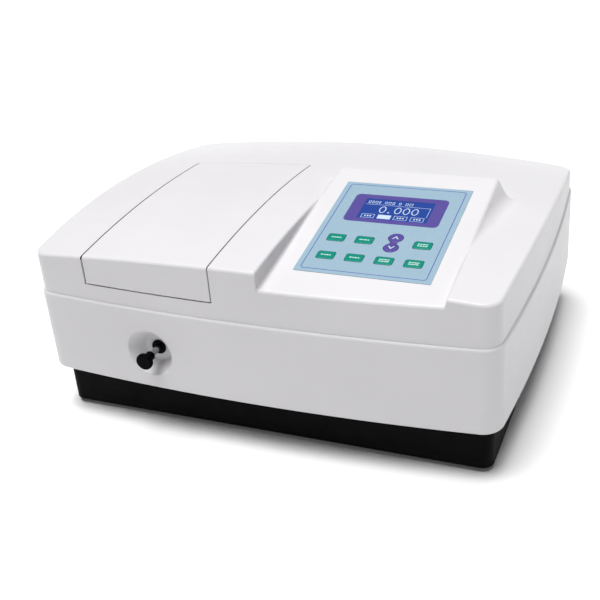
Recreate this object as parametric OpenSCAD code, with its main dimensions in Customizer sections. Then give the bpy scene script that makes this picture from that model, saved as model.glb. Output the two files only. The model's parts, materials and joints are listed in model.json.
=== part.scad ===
// Benchtop visible-range spectrophotometer with a four-cell changer.
// Millimetres. +X is the user's right, +Y the back and +Z up; the front faces -Y.
// The origin is on the bench, under the centre of the whole instrument's box.
// Everything is laid out in the case frame, whose zero is the black base's
// underside at the middle of the white case; place() lifts it onto the feet.

/* [Case] */
// Width of the white case at its widest
case_w = 470; // [460:1:480]
// Depth of the white case at its middle
case_d = 382.9; // [378:0.1:388]
// How far the front bows out at its middle
front_bow = 12.57; // [8:0.01:16]
// How far each side bows out at its middle
side_bow = 9.34; // [6:0.01:12]
// Radius of the four upright corners
corner_r = 20; // [16:0.5:24]
// Thickness of the moulded walls
wall = 3; // [2.5:0.1:3.5]
// Height of the rubber feet
foot_h = 5; // [4:0.5:8]
// Height of the black base
base_h = 44.8; // [43.8:0.1:45.5]
// Height of the seam between the lower shell and the cover
seam_z = 130; // [129:0.5:131]
// How far the cover is set in from the lower shell
cover_inset = 2; // [1.5:0.1:2.5]

/* [Crown of the cover] */
// Height of the crown's highest point
crown_top = 189.5; // [188:0.5:191]
// Where that point is along the depth
crown_y = -58.7; // [-65:0.1:-50]
// Radius of the crown across the width
crown_rx = 1841; // [1800:1:1900]
// Radius of the crown along the depth
crown_ry = 1146; // [1100:1:1200]

/* [Sample lid] */
// Left side of the lid
lid_left = -164.2; // [-165:0.1:-163]
// Right side of the lid
lid_right = -30.2; // [-31:0.1:-29.5]
// Lower edge of the lid's front flap
lid_flap_z = 147.4; // [147:0.1:149]
// Seam around the lid
lid_gap = 1; // [0.8:0.1:1.4]
// Hinge axis along the depth
hinge_y = 42.8; // [42:0.1:43.5]
// Hinge axis height at the middle of the lid
hinge_z = 174.2; // [173.8:0.1:174.6]
// The hinge axis follows the crown, rising to the right by this angle
hinge_tilt = 2; // [1.5:0.1:2.2]
// Radius of the lid's rear edge about the hinge axis
lid_tail_r = 17; // [16.8:0.1:17.2]

/* [Control console] */
// Middle of the keypad overlay across the width
panel_x = 99.84; // [98:0.1:102]
// Middle of the keypad overlay along the depth
panel_y = -79.55; // [-81:0.1:-78]
// Height of the console's face at that point
panel_z = 182.45; // [181.5:0.05:183]
// Slope of the console's face
panel_tilt = 8.935; // [8:0.005:10]
// Half of the face's width at its front
panel_half_front = 82.8; // [82:0.1:84]
// Half of the face's width at its back
panel_half_back = 80.2; // [79:0.1:81]
// Back edge of the face, up the slope from the overlay's middle
panel_back = 103.5; // [102:0.5:105]
// Draft of the console's raised sides
panel_draft = 25; // [20:1:28]
// Draft of the side walls where the face is sunk below the crown
recess_draft = 2; // [1:0.5:6]
// Width of the keypad overlay
overlay_w = 125.4; // [124:0.1:127]
// Length of the keypad overlay up the slope
overlay_l = 151.7; // [150:0.1:153]
// Middle of the display up the slope
lcd_v = 31.2; // [30.5:0.1:32]

/* [Keys] */
// Width of a rectangular key
key_w = 16.6; // [15:0.1:17.5]
// Length of a rectangular key
key_l = 11.3; // [10:0.1:12]
// Radius of an arrow key
arrow_r = 6.9; // [6:0.1:7.1]
// Height of a key above the console's face
key_top = 0.95; // [0.9:0.05:1.2]
// How far a key travels
key_travel = 0.4; // [0.3:0.05:0.4]

/* [Cell changer] */
// Pull rod across the width
rod_x = -101.4; // [-103:0.1:-100]
// Height of the pull rod and of the light beam
beam_z = 82; // [81:0.5:83]
// Radius of the pull rod
rod_r = 3; // [2.5:0.1:3]
// Front face of the pull knob with the rod pushed in
knob_face_y = -204.3; // [-206:0.1:-202]
// Radius of the pull knob
knob_r = 8.2; // [7.5:0.1:9]
// Radius of the finger recess at the case's face
dish_r = 24.2; // [22:0.1:25]
// Radius of the finger recess at its floor
dish_floor_r = 14.2; // [13:0.1:16]
// How far the recess leans to the left towards its mouth
dish_lean_x = 2.4; // [0:0.1:3]
// How far the recess leans up towards its mouth
dish_lean_z = 1.2; // [0:0.1:2]
// Where the recess's floor is along the depth
dish_floor_y = -173.4; // [-174:0.1:-172]
// Distance between cell places
cell_pitch = 16; // [15.5:0.1:16.5]
// Inside width of a cell place
cell_well = 12.8; // [12.6:0.1:13]
// Light beam along the depth
beam_y = -85; // [-86:0.5:-84]

/* [Optics] */
// Grating's turning axis across the width
grating_x = 5; // [3:0.5:7]
// Grating's turning axis along the depth
grating_y = 25; // [24:0.5:26]
// Wavelength screw across the width
screw_x = 88; // [87:0.5:89]
// Height of the wavelength screw
screw_z = 70; // [69:0.5:71]
// Entrance slit across the width
slit_x = 48; // [47:0.5:49]
// Middle of the fan across the width
fan_x = 55; // [50:1:60]
// Middle of the mains inlet across the width
inlet_x = 170; // [165:1:175]

/* [Hidden] */
$fn = 64;

white = "#f2f3f5";
black = "#17181b";
steel = "#b9bdc2";
cast = "#8d9196";
board = "#1d6b44";

// Rear fittings, measured from the rear wall's outer face
inlet_flange = 2.5;
rocker_proud = 3.2;
back_y = case_d / 2;
back_reach = back_y + inlet_flange + rocker_proud;
case_shift_y = (-knob_face_y - back_reach) / 2;

// Large arcs of the case's plan
fine = 720;
front_R = (pow(case_w / 2, 2) + pow(front_bow, 2)) / (2 * front_bow);
side_R = (pow(case_d / 2, 2) + pow(side_bow, 2)) / (2 * side_bow);
front_c = [0, -case_d / 2 + front_R];
side_c = [case_w / 2 - side_R, 0];

// Centre of a front corner: where circles about the two arcs' centres meet
corner_a = front_R - corner_r;
corner_b = side_R - corner_r;
arcs_gap = norm(side_c - front_c);
along = (pow(corner_a, 2) - pow(corner_b, 2) + pow(arcs_gap, 2)) / (2 * arcs_gap);
across = sqrt(pow(corner_a, 2) - pow(along, 2));
arcs_dir = (side_c - front_c) / arcs_gap;
front_corner = front_c + along * arcs_dir + across * [-arcs_dir[1], arcs_dir[0]];
back_corner_y = case_d / 2 - corner_r;
back_corner = [side_c[0] + sqrt(pow(corner_b, 2) - pow(back_corner_y, 2)), back_corner_y];

lid_mid = (lid_left + lid_right) / 2;
lid_w = lid_right - lid_left;
// The lid swings about a tilted axis, so its left seam is a little wider
lid_left_gap = lid_gap + 0.4;
hinge_xs = [lid_mid - 50, lid_mid + 50];
knuckle_w = 8;
knuckle_r = 3.3;
ear_w = 3;
ear_gap = 0.4;
pin_r = 1.6;
run_fit = 0.06;

// Cell changer's knob and bush
front_y = -189;
knob_t = 4.6;
knob_l = 14.3;
knob_ease = 1.2;
neck_r = 4.6;
rod_seat = 3.4;
bush_r = 6;
bush_disc_r = 7.3;
bush_disc_t = 1.6;
bush_end_y = -160;

// Screws and slots of the base
screw_r = 2;
screw_head_r = 3.8;
screw_head_h = 2.4;
cross_l = 4.4;
cross_w = 1;
slot_pitch = 14;
slot_half = 3;
slot_y0 = -60;
slot_y1 = 40;

// Black base
base_corner = 11;
rim_w = 16;
rim_corner = 6;
shell_open_half = 205;
foot_r = 12;
foot_seat_r = 5;
foot_seat_h = 3.2;
boss_r = 7;
base_front_y = -168.5;
base_back_y = 178;
base_half_w = 218.6;
base_mid_y = (base_front_y + base_back_y) / 2;
base_d = base_back_y - base_front_y;
base_wall = 2.5;
foot_xy = [[-180, -140], [180, -140], [-180, 150], [180, 150]];
rim_screw_xy = [[-210.5, -100], [210.5, -100], [-210.5, 110], [210.5, 110]];
plate_z = 12;
plate_t = 2;
bench_z = 44;
bench_t = 8;
bench_top = bench_z + bench_t;

// Sample chamber
tub_x0 = -163;
tub_x1 = -33;
tub_y0 = -155;
tub_y1 = 23;
tub_top = 143;
gasket_t = 1;
collar_z = tub_top + gasket_t;
flange_y0 = -179.4;
flange_y1 = 65.5;
collar_front = -176;
collar_back = 61.5;
port_r = 7;
seal_r = 6.97;

// Cell changer
cells = 4;
well_t = 4.6;
carriage_w = cell_well + 2 * well_t;
carriage_y0 = beam_y - cell_pitch / 2 - 2;
carriage_l = cells * cell_pitch + 4;
rail_dx = 15;
rail_z = 60.5;
rail_r = 3;
cell_floor_z = 67;
carriage_top = 100;

// Monochromator
mono_x0 = -31;
mono_x1 = 105;
mono_y0 = -118;
mono_y1 = 60;
mono_top = 112;
mono_wall = 5;
arm_l = 63;
arm_z = 64;
arm_t = 6;
arm_half = 3;
nut_l = 10;
nut_gap = 0.4;
nut_y1 = grating_y - arm_half - nut_gap;
lead_r = 4;
journal_r = 2.5;
motor_half = 17.5;
motor_l = 34;
mirror_R = 120;
mirror_sag = 1.4;
wheel_x = slit_x - 16;
wheel_r = 22;
filter_ring_r = 16;
wheel_shaft_r = 1.5;

// Lamp and its house
lamp_x0 = slit_x - 32;
lamp_x1 = slit_x + 50;
lamp_y0 = 100;
lamp_y1 = 158;
lamp_y = 128;
lamp_top = 124;
sheet_t = 2;
vent_pitch = 10;
vent_w = 5;
socket_half = 9;
pin_dx = 2.5;
bulb_r = 5.5;

// Console
face_t = wall;
back_lean = 5;
cap_bottom = -0.6;
dome_h = 0.3;
dome_r = 4;
dome_play = 0.3;
board_top = cap_bottom - key_travel - dome_play - dome_h;
board_t = 1.6;
board_half = 52.4;
board_l = 54.8;
keypad_v = -31;
lcd_w = -9;
lcd_frame_t = 4.1;
bracket_w = -14;
bracket_t = 1.2;
post_w = -13;
overlay_t = 0.5;
pane_t = 1.6;
sink = 0.1;
window_w = 67.4;
window_l = 34.4;
pane_w = 73.4;
pane_l = 39.4;
row_a = -21;
row_b = -49.4;
col_1 = -40.9;
col_2 = -14;
col_3 = 13.4;
col_4 = 40.4;
up_v = -13.2;
down_v = -28.9;

// Rear fittings
inlet_z = 80;
inlet_h = 58;
inlet_w = 27;
inlet_depth = 29;
socket_z = 63;
fuse_z = 80.5;
rocker_z = 97.5;
rocker_w = 18;
rocker_half = 6.5;
rocker_tilt = 9;
fan_z = 88;
fan_size = 60;
fan_t = 15;
port_x = -120;
port_half = 9;
port_z0 = 79.6;
port_z1 = 89.4;
port_wall = 1.2;
louvre_pitch = 7.4;
louvre_half = 1.8;
louvre_reach = 24;

module place() translate([0, case_shift_y, foot_h]) children();

module box(lo, hi) translate(lo) cube(hi - lo);

module rod_y(x, z, y0, y1, r) translate([x, y0, z]) rotate([-90, 0, 0]) cylinder(r = r, h = y1 - y0);

module rod_x_axis(y, z, x0, x1, r) translate([x0, y, z]) rotate([0, 90, 0]) cylinder(r = r, h = x1 - x0);

module post(x, y, z0, z1, r) translate([x, y, z0]) cylinder(r = r, h = z1 - z0);

module round_rect(w, d, r) {
    square([w - 2 * r, d], center = true);
    square([w, d - 2 * r], center = true);
    for (sx = [-1, 1], sy = [-1, 1])
        translate([sx * (w / 2 - r), sy * (d / 2 - r)]) circle(r = r);
}

function arc(c, r, a0, a1, n, first = 1) =
    [for (i = [first:n]) c + r * [cos(a0 + (a1 - a0) * i / n), sin(a0 + (a1 - a0) * i / n)]];

function bearing(from, to) = atan2(to[1] - from[1], to[0] - from[0]);

// Right half of the case's plan, from the front's middle to the back, set in by an amount
function plan_half(inset) = let (
        r = corner_r - inset,
        a_front = bearing(front_c, front_corner),
        a_side = bearing(side_c, front_corner),
        a_rear = bearing(side_c, back_corner))
    concat(arc(front_c, front_R - inset, -90, a_front, 14, 0),
        arc(front_corner, r, a_front, a_side, 8),
        arc(side_c, side_R - inset, a_side, a_rear, 16),
        arc(back_corner, r, a_rear, 90, 8));

module outline(inset) {
    right = plan_half(inset);
    left = [for (i = [len(right) - 1:-1:1]) [-right[i][0], right[i][1]]];
    polygon(concat(right, left));
}

module prism(inset, z0, z1) translate([0, 0, z0]) linear_extrude(z1 - z0) outline(inset);

// The crowned top, a barrel turned about an axis along the depth
module crown(drop) {
    sweep = 20;
    band = 110;
    translate([0, crown_y, crown_top - crown_rx]) rotate([90, 0, 0]) rotate([0, 0, 90 - sweep / 2])
        rotate_extrude(angle = sweep, $fn = fine) intersection() {
            translate([crown_rx - crown_ry, 0]) circle(r = crown_ry - drop, $fn = fine);
            translate([crown_rx - band, -260]) square([band + 10, 520]);
        }
}

module cover_form(inset, z0) intersection() {
    prism(cover_inset + inset, z0, crown_top + 10);
    crown(inset);
}

// Frame of the console's face: x across, y up the slope, z out of the face
module on_panel() translate([panel_x, panel_y, panel_z]) rotate([panel_tilt, 0, 0]) children();

// Plate on the console: its middle, its underside's height and its size
module slab(u, v, w, size) translate([u - size[0] / 2, v - size[1] / 2, w]) cube(size);

// Half space inside one long side of the console, drafted by an angle
module side_half(side, draft, set_in) {
    taper = atan((panel_half_front - panel_half_back) / (2 * panel_back));
    mid = (panel_half_front + panel_half_back) / 2;
    translate([side * mid, 0, 0]) rotate([0, 0, side * taper]) rotate([0, -side * draft, 0])
        translate([-side * set_in, 0, 0])
            translate([side > 0 ? -400 : 0, -300, -300]) cube([400, 600, 600]);
}

// Raised console below its face
module console(set_in) intersection() {
    prism(cover_inset + set_in, seam_z + 12, 230);
    on_panel() intersection() {
        side_half(1, panel_draft, set_in);
        side_half(-1, panel_draft, set_in);
        translate([-200, panel_back - set_in, -set_in]) rotate([-back_lean, 0, 0])
            translate([0, -400, -200]) cube([400, 400, 260]);
        translate([-200, -300, -70]) cube([400, 600, 70 - set_in]);
    }
}

// Space above the console's face, where it is lower than the crown
module console_recess(grow) on_panel() intersection() {
    side_half(1, -recess_draft, -grow);
    side_half(-1, -recess_draft, -grow);
    translate([-200, -300, -grow]) cube([400, 300 + panel_back - 20, 90]);
}

// Frame of the lid's hinge: x along its axis
module at_hinge() translate([lid_mid, hinge_y, hinge_z]) rotate([0, -hinge_tilt, 0]) children();

// Everything ahead of the hinge, and a round tail about it behind
module lid_reach(x0, x1, z0, tail_r) {
    box([x0, -230, z0], [x1, hinge_y, 230]);
    intersection() {
        box([x0, hinge_y - 1, z0], [x1, hinge_y + tail_r, 230]);
        at_hinge() rod_x_axis(0, 0, -lid_w, lid_w, tail_r);
    }
}

// ---- Casing ----

// Cooling slots from one height to another
module air_slots(z0, z1) for (i = [-6:6])
    box([i * slot_pitch - slot_half, slot_y0, z0], [i * slot_pitch + slot_half, slot_y1, z1]);

module base_tray() color(black) place() {
    difference() {
        translate([0, base_mid_y, 0]) linear_extrude(base_h) round_rect(2 * base_half_w, base_d, base_corner);
        translate([0, base_mid_y, wall]) linear_extrude(base_h - wall - base_wall)
            round_rect(2 * (base_half_w - base_wall), base_d - 2 * base_wall, base_corner - 2);
        translate([0, base_mid_y, wall]) linear_extrude(base_h)
            round_rect(2 * (base_half_w - rim_w), base_d - 2 * rim_w, rim_corner);
        for (p = foot_xy) post(p[0], p[1], -1, wall + 1, screw_r);
        for (p = rim_screw_xy) post(p[0], p[1], base_h - 8, base_h + 1, screw_r);
        air_slots(-1, wall + 1);
    }
    for (p = foot_xy) difference() {
        post(p[0], p[1], wall, plate_z, boss_r);
        post(p[0], p[1], 0, plate_z + 1, screw_r);
    }
}

module rubber_feet() color("#2a2a2c") place() for (p = foot_xy) difference() {
    translate([p[0], p[1], -foot_h]) rotate_extrude()
        polygon([[0, 0], [foot_r - 1.5, 0], [foot_r, 1.5], [foot_r, foot_h], [0, foot_h]]);
    post(p[0], p[1], -foot_h - 1, -foot_h + foot_seat_h, foot_seat_r);
    post(p[0], p[1], -foot_h, 1, screw_r);
}

module pan_screw(x, y, head_z, length, up) translate([x, y, head_z]) mirror([0, 0, up ? 0 : 1]) {
    difference() {
        translate([0, 0, -screw_head_h]) cylinder(r = screw_head_r, h = screw_head_h);
        translate([0, 0, -screw_head_h - 0.6]) rotate([0, 0, 45]) for (a = [0, 90]) rotate([0, 0, a])
            translate([-cross_l / 2, -cross_w / 2, 0]) cube([cross_l, cross_w, 1.6]);
    }
    cylinder(r = screw_r, h = length);
}

module case_screws() color(steel) place() {
    for (p = foot_xy) pan_screw(p[0], p[1], -foot_h + foot_seat_h, 13, true);
    for (p = rim_screw_xy) pan_screw(p[0], p[1], base_h + wall, 10, false);
}

module inlet_cutout(depth0, depth1, grow)
    box([inlet_x - inlet_w / 2 - grow, depth0, inlet_z - inlet_h / 2 - grow],
        [inlet_x + inlet_w / 2 + grow, depth1, inlet_z + inlet_h / 2 + grow]);

// Leaning cone of the finger recess between two depths, its wall set out by an amount
module dish(y0, y1, set_out) {
    depth = dish_floor_y - front_y;
    flare = (dish_r - dish_floor_r) / depth;
    lean = [-dish_lean_x, 0, dish_lean_z] / depth;
    translate([rod_x, dish_floor_y, beam_z])
        multmatrix([[1, -lean[0], 0, 0], [0, 1, 0, 0], [0, -lean[2], 1, 0], [0, 0, 0, 1]])
            translate([0, y0 - dish_floor_y, 0]) rotate([-90, 0, 0])
                cylinder(r1 = dish_floor_r + set_out + flare * (dish_floor_y - y0),
                    r2 = dish_floor_r + set_out + flare * (dish_floor_y - y1), h = y1 - y0);
}

module lower_shell() color(white) place() {
    difference() {
        union() {
            difference() {
                prism(0, base_h, seam_z);
                prism(wall, base_h + wall, seam_z - 4);
                prism(2 * wall, seam_z - 5, seam_z + 1);
                translate([0, base_mid_y, base_h - 1]) linear_extrude(wall + 2)
                    round_rect(2 * shell_open_half, base_d - 2 * rim_w, rim_corner);
            }
            intersection() {
                dish(front_y, dish_floor_y + wall, wall + 1);
                prism(0.5, base_h, seam_z);
            }
        }
        dish(front_y - 8, dish_floor_y, 0);
        rod_y(rod_x, beam_z, dish_floor_y - 1, dish_floor_y + wall + 1, bush_r);
        inlet_cutout(back_y - 10, back_y + 1, 0.3);
        box([port_x - port_half - 0.6, back_y - 10, port_z0 - 0.6],
            [port_x + port_half + 0.6, back_y + 1, port_z1 + 0.6]);
        for (i = [-3:3])
            box([fan_x - louvre_reach, back_y - 10, fan_z + i * louvre_pitch - louvre_half],
                [fan_x + louvre_reach, back_y + 1, fan_z + i * louvre_pitch + louvre_half]);
        for (p = rim_screw_xy) post(p[0], p[1], base_h - 1, base_h + wall + 1, 2.2);
    }
}

module key_shape(u, v, grow) translate([u, v]) round_rect(key_w + 2 * grow, key_l + 2 * grow, 2 + grow);

module arrow_shape(v, grow) translate([col_3, v]) circle(r = arrow_r + grow);

module all_key_shapes(grow) {
    for (u = [col_1, col_2, col_4]) key_shape(u, row_a, grow);
    for (u = [col_1, col_2, col_3, col_4]) key_shape(u, row_b, grow);
    arrow_shape(up_v, grow);
    arrow_shape(down_v, grow);
}

module upper_cover() color(white) place() difference() {
    union() {
        difference() {
            union() {
                difference() {
                    cover_form(0, seam_z);
                    console_recess(0);
                }
                console(0);
            }
            difference() {
                cover_form(wall, seam_z - 1);
                console_recess(wall);
            }
            console(wall);
        }
        // Light-tight collar down to the sample chamber
        intersection() {
            cover_form(1.5, seam_z);
            difference() {
                box([lid_left - lid_left_gap - wall, -case_d / 2, collar_z],
                    [lid_right + lid_gap + wall, collar_back + wall, crown_top]);
                box([lid_left - lid_left_gap, collar_front, collar_z - 1],
                    [lid_right + lid_gap, collar_back, crown_top + 1]);
            }
        }
    }
    lid_reach(lid_left - lid_left_gap, lid_right + lid_gap, lid_flap_z - lid_gap, lid_tail_r + 0.8);
    on_panel() {
        slab(0, lcd_v, -12, [pane_w + 1, pane_l + 1, 20]);
        slab(0, keypad_v, -12, [2 * board_half + 1.2, board_l + 1.2, 20]);
    }
}

module chassis_plate() color(steel) place() difference() {
    box([-204, -150, plate_z], [204, 160, plate_z + plate_t]);
    for (p = foot_xy) post(p[0], p[1], plate_z - 1, plate_z + 4, screw_r + 1);
    air_slots(plate_z - 1, plate_z + 4);
}

module optical_base() color(cast) place() {
    box([-201, -148, bench_z], [112, 158, bench_top]);
    for (x = [-170, 0, 95], y = [-130, 140]) post(x, y, plate_z + plate_t, bench_z, 8);
}

// ---- Console ----

module keypad_overlay() color("#a4c3d4") place() on_panel() linear_extrude(overlay_t) difference() {
    round_rect(overlay_w, overlay_l, 1);
    translate([0, lcd_v]) square([window_w + 0.2, window_l + 0.2], center = true);
    all_key_shapes(0.35);
}

module display_window() color("#2d4fa8") place() on_panel() translate([0, lcd_v, 0]) {
    slab(0, 0, -pane_t, [pane_w, pane_l, pane_t]);
    slab(0, 0, -sink, [window_w, window_l, overlay_t]);
}

module lcd_module() color("#3a3f45") place() on_panel() translate([0, lcd_v, 0]) {
    slab(0, 0, lcd_w, [93, 70, board_t]);
    slab(0, 0, lcd_w + board_t, [78, 51, lcd_frame_t]);
    slab(0, 0, lcd_w + board_t + lcd_frame_t - sink, [72, 38, 1.5]);
}

module panel_bracket() color(steel) place() on_panel() {
    difference() {
        slab(0, 1, bracket_w, [144, 150, bracket_t]);
        slab(0, lcd_v, bracket_w - 1, [60, 40, 4]);
    }
    for (x = [-68, 68], y = [-68, 70]) translate([x, y, post_w]) cylinder(r = 3.5, h = -post_w - face_t);
    for (x = [-43, 43], y = [-31, 31])
        translate([x, lcd_v + y, post_w]) cylinder(r = 2.5, h = lcd_w - post_w);
    for (x = [-48, 48], y = [-54, -8])
        translate([x, y, post_w]) cylinder(r = 2.5, h = board_top - board_t - post_w);
}

module keypad_board() color(board) place() on_panel() {
    slab(0, keypad_v, board_top - board_t, [2 * board_half, board_l, board_t]);
    translate([0, 0, board_top - sink]) linear_extrude(dome_h + sink) {
        for (u = [col_1, col_2, col_4]) translate([u, row_a]) circle(r = dome_r);
        for (u = [col_1, col_2, col_3, col_4]) translate([u, row_b]) circle(r = dome_r);
        for (v = [up_v, down_v]) translate([col_3, v]) circle(r = dome_r);
    }
}

module green_key(u, v) color("#1f9a7a") place() on_panel()
    translate([0, 0, cap_bottom]) linear_extrude(key_top - cap_bottom) key_shape(u, v, 0);

module arrow_key(v) color("#6a55a8") place() on_panel()
    translate([0, 0, cap_bottom]) linear_extrude(key_top - cap_bottom) arrow_shape(v, 0);

module key_a1() green_key(col_1, row_a);
module key_a2() green_key(col_2, row_a);
module key_a4() green_key(col_4, row_a);
module key_b1() green_key(col_1, row_b);
module key_b2() green_key(col_2, row_b);
module key_b3() green_key(col_3, row_b);
module key_b4() green_key(col_4, row_b);
module key_up() arrow_key(up_v);
module key_down() arrow_key(down_v);

// ---- Lid and its hinge ----

module sample_lid() color(white) place() difference() {
    union() {
        intersection() {
            difference() {
                cover_form(0, lid_flap_z);
                cover_form(wall, lid_flap_z - 1);
            }
            lid_reach(lid_left, lid_right, lid_flap_z, lid_tail_r);
        }
        // Stiffening ribs under the skin
        intersection() {
            difference() {
                cover_form(wall - 0.5, lid_flap_z);
                crown(wall + 8);
            }
            for (x = [lid_left + 5, lid_mid - 1, lid_right - 7])
                box([x, -184, lid_flap_z], [x + 2, hinge_y - 8, crown_top]);
        }
        // Hinge knuckles
        intersection() {
            cover_form(1, lid_flap_z);
            at_hinge() for (x = hinge_xs) translate([x - lid_mid, 0, 0]) {
                rod_x_axis(0, 0, -knuckle_w / 2, knuckle_w / 2, knuckle_r);
                translate([-knuckle_w / 2, -knuckle_r, 0]) cube([knuckle_w, 2 * knuckle_r, 12]);
            }
        }
    }
    at_hinge() for (x = hinge_xs)
        rod_x_axis(0, 0, x - lid_mid - knuckle_w, x - lid_mid + knuckle_w, pin_r);
}

module hinge_pins() color(steel) place() at_hinge() for (x = hinge_xs) {
    reach = knuckle_w / 2 + ear_gap + ear_w + 0.8;
    rod_x_axis(0, 0, x - lid_mid - reach, x - lid_mid + reach, pin_r);
}

module hinge_brackets() color(steel) place() for (x = hinge_xs) {
    difference() {
        intersection() {
            box([x - 20, hinge_y - 12, tub_top], [x + 20, hinge_y + 14, 200]);
            at_hinge() for (side = [-1, 1])
                translate([x - lid_mid + side * (knuckle_w / 2 + ear_gap + ear_w / 2), 0, 0]) {
                    rod_x_axis(0, 0, -ear_w / 2, ear_w / 2, 3);
                    translate([-ear_w / 2, -3, -50]) cube([ear_w, 6, 50]);
                }
        }
        at_hinge() rod_x_axis(0, 0, x - lid_mid - 12, x - lid_mid + 12, pin_r + run_fit);
    }
    box([x - 11, hinge_y - 10, tub_top], [x + 11, hinge_y + 10, tub_top + 2]);
}

// ---- Sample compartment ----

module sample_chamber() color(black) place() difference() {
    union() {
        box([tub_x0, tub_y0, bench_top], [tub_x1, tub_y1, tub_top]);
        box([lid_left - 5.2, flange_y0, tub_top - wall], [lid_right + 5.2, flange_y1, tub_top]);
    }
    box([tub_x0 + wall, tub_y0 + wall, bench_top + wall], [tub_x1 - wall, tub_y1 - wall, tub_top + 1]);
    rod_x_axis(beam_y, beam_z, tub_x0 - 1, tub_x0 + wall + 1, port_r);
    rod_x_axis(beam_y, beam_z, tub_x1 - wall - 1, tub_x1 + 1, port_r);
    rod_y(rod_x, beam_z, tub_y0 - 1, tub_y0 + wall + 1, rod_r + 0.6);
}

module chamber_gasket() color("#26272a") place() difference() {
    box([lid_left - 4.8, flange_y0 + 0.4, tub_top], [lid_right + 4.8, flange_y1 - 0.5, collar_z]);
    box([lid_left - 1.2, flange_y0 + 3.6, tub_top - 1], [lid_right + 1.2, flange_y1 - 4.2, collar_z + 1]);
}

module pull_rod() color(steel) place() rod_y(rod_x, beam_z, knob_face_y + rod_seat, carriage_y0, rod_r);

module pull_knob() color(black) place() difference() {
    translate([rod_x, knob_face_y, beam_z]) rotate([-90, 0, 0]) rotate_extrude()
        polygon([[0, 0], [knob_r - knob_ease, 0], [knob_r, knob_ease], [knob_r, knob_t - knob_ease],
            [knob_r - knob_ease, knob_t], [neck_r, knob_t + 1], [neck_r, knob_l - 0.6],
            [neck_r - 0.6, knob_l], [0, knob_l]]);
    rod_y(rod_x, beam_z, knob_face_y + rod_seat, knob_face_y + knob_l + 1, rod_r);
}

module rod_bush() color(black) place() difference() {
    union() {
        rod_y(rod_x, beam_z, dish_floor_y - bush_disc_t, dish_floor_y, bush_disc_r);
        rod_y(rod_x, beam_z, dish_floor_y - 0.1, bush_end_y, bush_r);
    }
    rod_y(rod_x, beam_z, dish_floor_y - 5, bush_end_y + 1, rod_r + run_fit);
}

module each_cell() for (i = [0:cells - 1]) translate([rod_x, beam_y + i * cell_pitch, 0]) children();

module cell_carriage() color("#33363b") place() difference() {
    union() {
        box([rod_x - carriage_w / 2, carriage_y0, 60],
            [rod_x + carriage_w / 2, carriage_y0 + carriage_l, carriage_top]);
        box([rod_x - 20, carriage_y0, 57], [rod_x + 20, carriage_y0 + carriage_l, 65]);
    }
    each_cell() {
        box([-cell_well / 2, -cell_well / 2, cell_floor_z], [cell_well / 2, cell_well / 2, carriage_top + 1]);
        box([-20, -2.5, beam_z - 8], [20, 2.5, beam_z + 12]);
    }
    for (s = [-1, 1])
        rod_y(rod_x + s * rail_dx, rail_z, carriage_y0 - 1, carriage_y0 + carriage_l + 1, rail_r + run_fit);
}

// One leaf spring hooked over the side of each cell place
module cell_springs() color(steel) place() each_cell() {
    box([cell_well / 2 - 0.3, -5.8, 76], [cell_well / 2, -3, carriage_top + 0.3]);
    box([cell_well / 2 - 0.3, -5.8, carriage_top], [cell_well / 2 + 3.6, -3, carriage_top + 0.3]);
}

module carriage_rails() color(steel) place() for (s = [-1, 1])
    rod_y(rod_x + s * rail_dx, rail_z, tub_y0 + wall, tub_y1 - wall, rail_r);

module detent_spring() color(steel) place() {
    side_x = rod_x - 20;
    box([side_x - 9, beam_y - 18, bench_top + wall], [side_x - 3.4, beam_y - 10, 64]);
    box([side_x - 3.6, beam_y - 18, 58], [side_x - 3, beam_y + 4, 63]);
    translate([side_x - 2.4, beam_y, rail_z]) sphere(r = 2);
}

module beam_lenses() color("#cfe4ee") place() {
    rod_x_axis(beam_y, beam_z, tub_x0, tub_x0 + wall, seal_r);
    rod_x_axis(beam_y, beam_z, tub_x1 - wall, tub_x1, seal_r);
}

// ---- Monochromator ----

module mono_housing() color(cast) place() {
    difference() {
        box([mono_x0, mono_y0, bench_top], [mono_x1, mono_y1, mono_top]);
        box([mono_x0 + mono_wall, mono_y0 + mono_wall, bench_top + mono_wall],
            [mono_x1 - mono_wall, mono_y1 - mono_wall, mono_top + 1]);
        rod_x_axis(beam_y, beam_z, mono_x0 - 1, mono_x0 + mono_wall + 1, 6);
        rod_y(slit_x, beam_z, mono_y1 - mono_wall - 1, mono_y1 + 1, 6);
        rod_y(screw_x, screw_z, mono_y1 - mono_wall - 1, mono_y1 + 1, 5);
    }
    // Bearing post for the screw's front end
    difference() {
        box([screw_x - 6, -15, bench_top + mono_wall], [screw_x + 6, -9, screw_z + 6]);
        rod_y(screw_x, screw_z, -16, -8, journal_r + run_fit);
    }
    // Bearing boss under the grating table
    difference() {
        post(grating_x, grating_y, bench_top + mono_wall, arm_z - 1, 9);
        post(grating_x, grating_y, bench_top + mono_wall - 1, arm_z, 4 + run_fit);
    }
}

module mono_cover() color("#2b2d30") place()
    box([mono_x0, mono_y0, mono_top], [mono_x1, mono_y1, mono_top + 2]);

module grating() color("#9fb7c9") place() translate([grating_x, grating_y, 0]) rotate([0, 0, 28]) {
    difference() {
        box([-15, -4, arm_z + arm_t], [15, 4, arm_z + arm_t + 28]);
        for (i = [-9:9])
            box([i * 1.5 - 0.2, -5, arm_z + arm_t + 3], [i * 1.5 + 0.2, -3.8, arm_z + arm_t + 25]);
    }
}

module grating_table() color(steel) place() {
    post(grating_x, grating_y, arm_z, arm_z + arm_t, 18);
    post(grating_x, grating_y, bench_top + mono_wall + 0.3, arm_z + 1, 4);
    box([grating_x, grating_y - arm_half, arm_z],
        [grating_x + arm_l + 2, grating_y + arm_half, arm_z + arm_t]);
}

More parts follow.
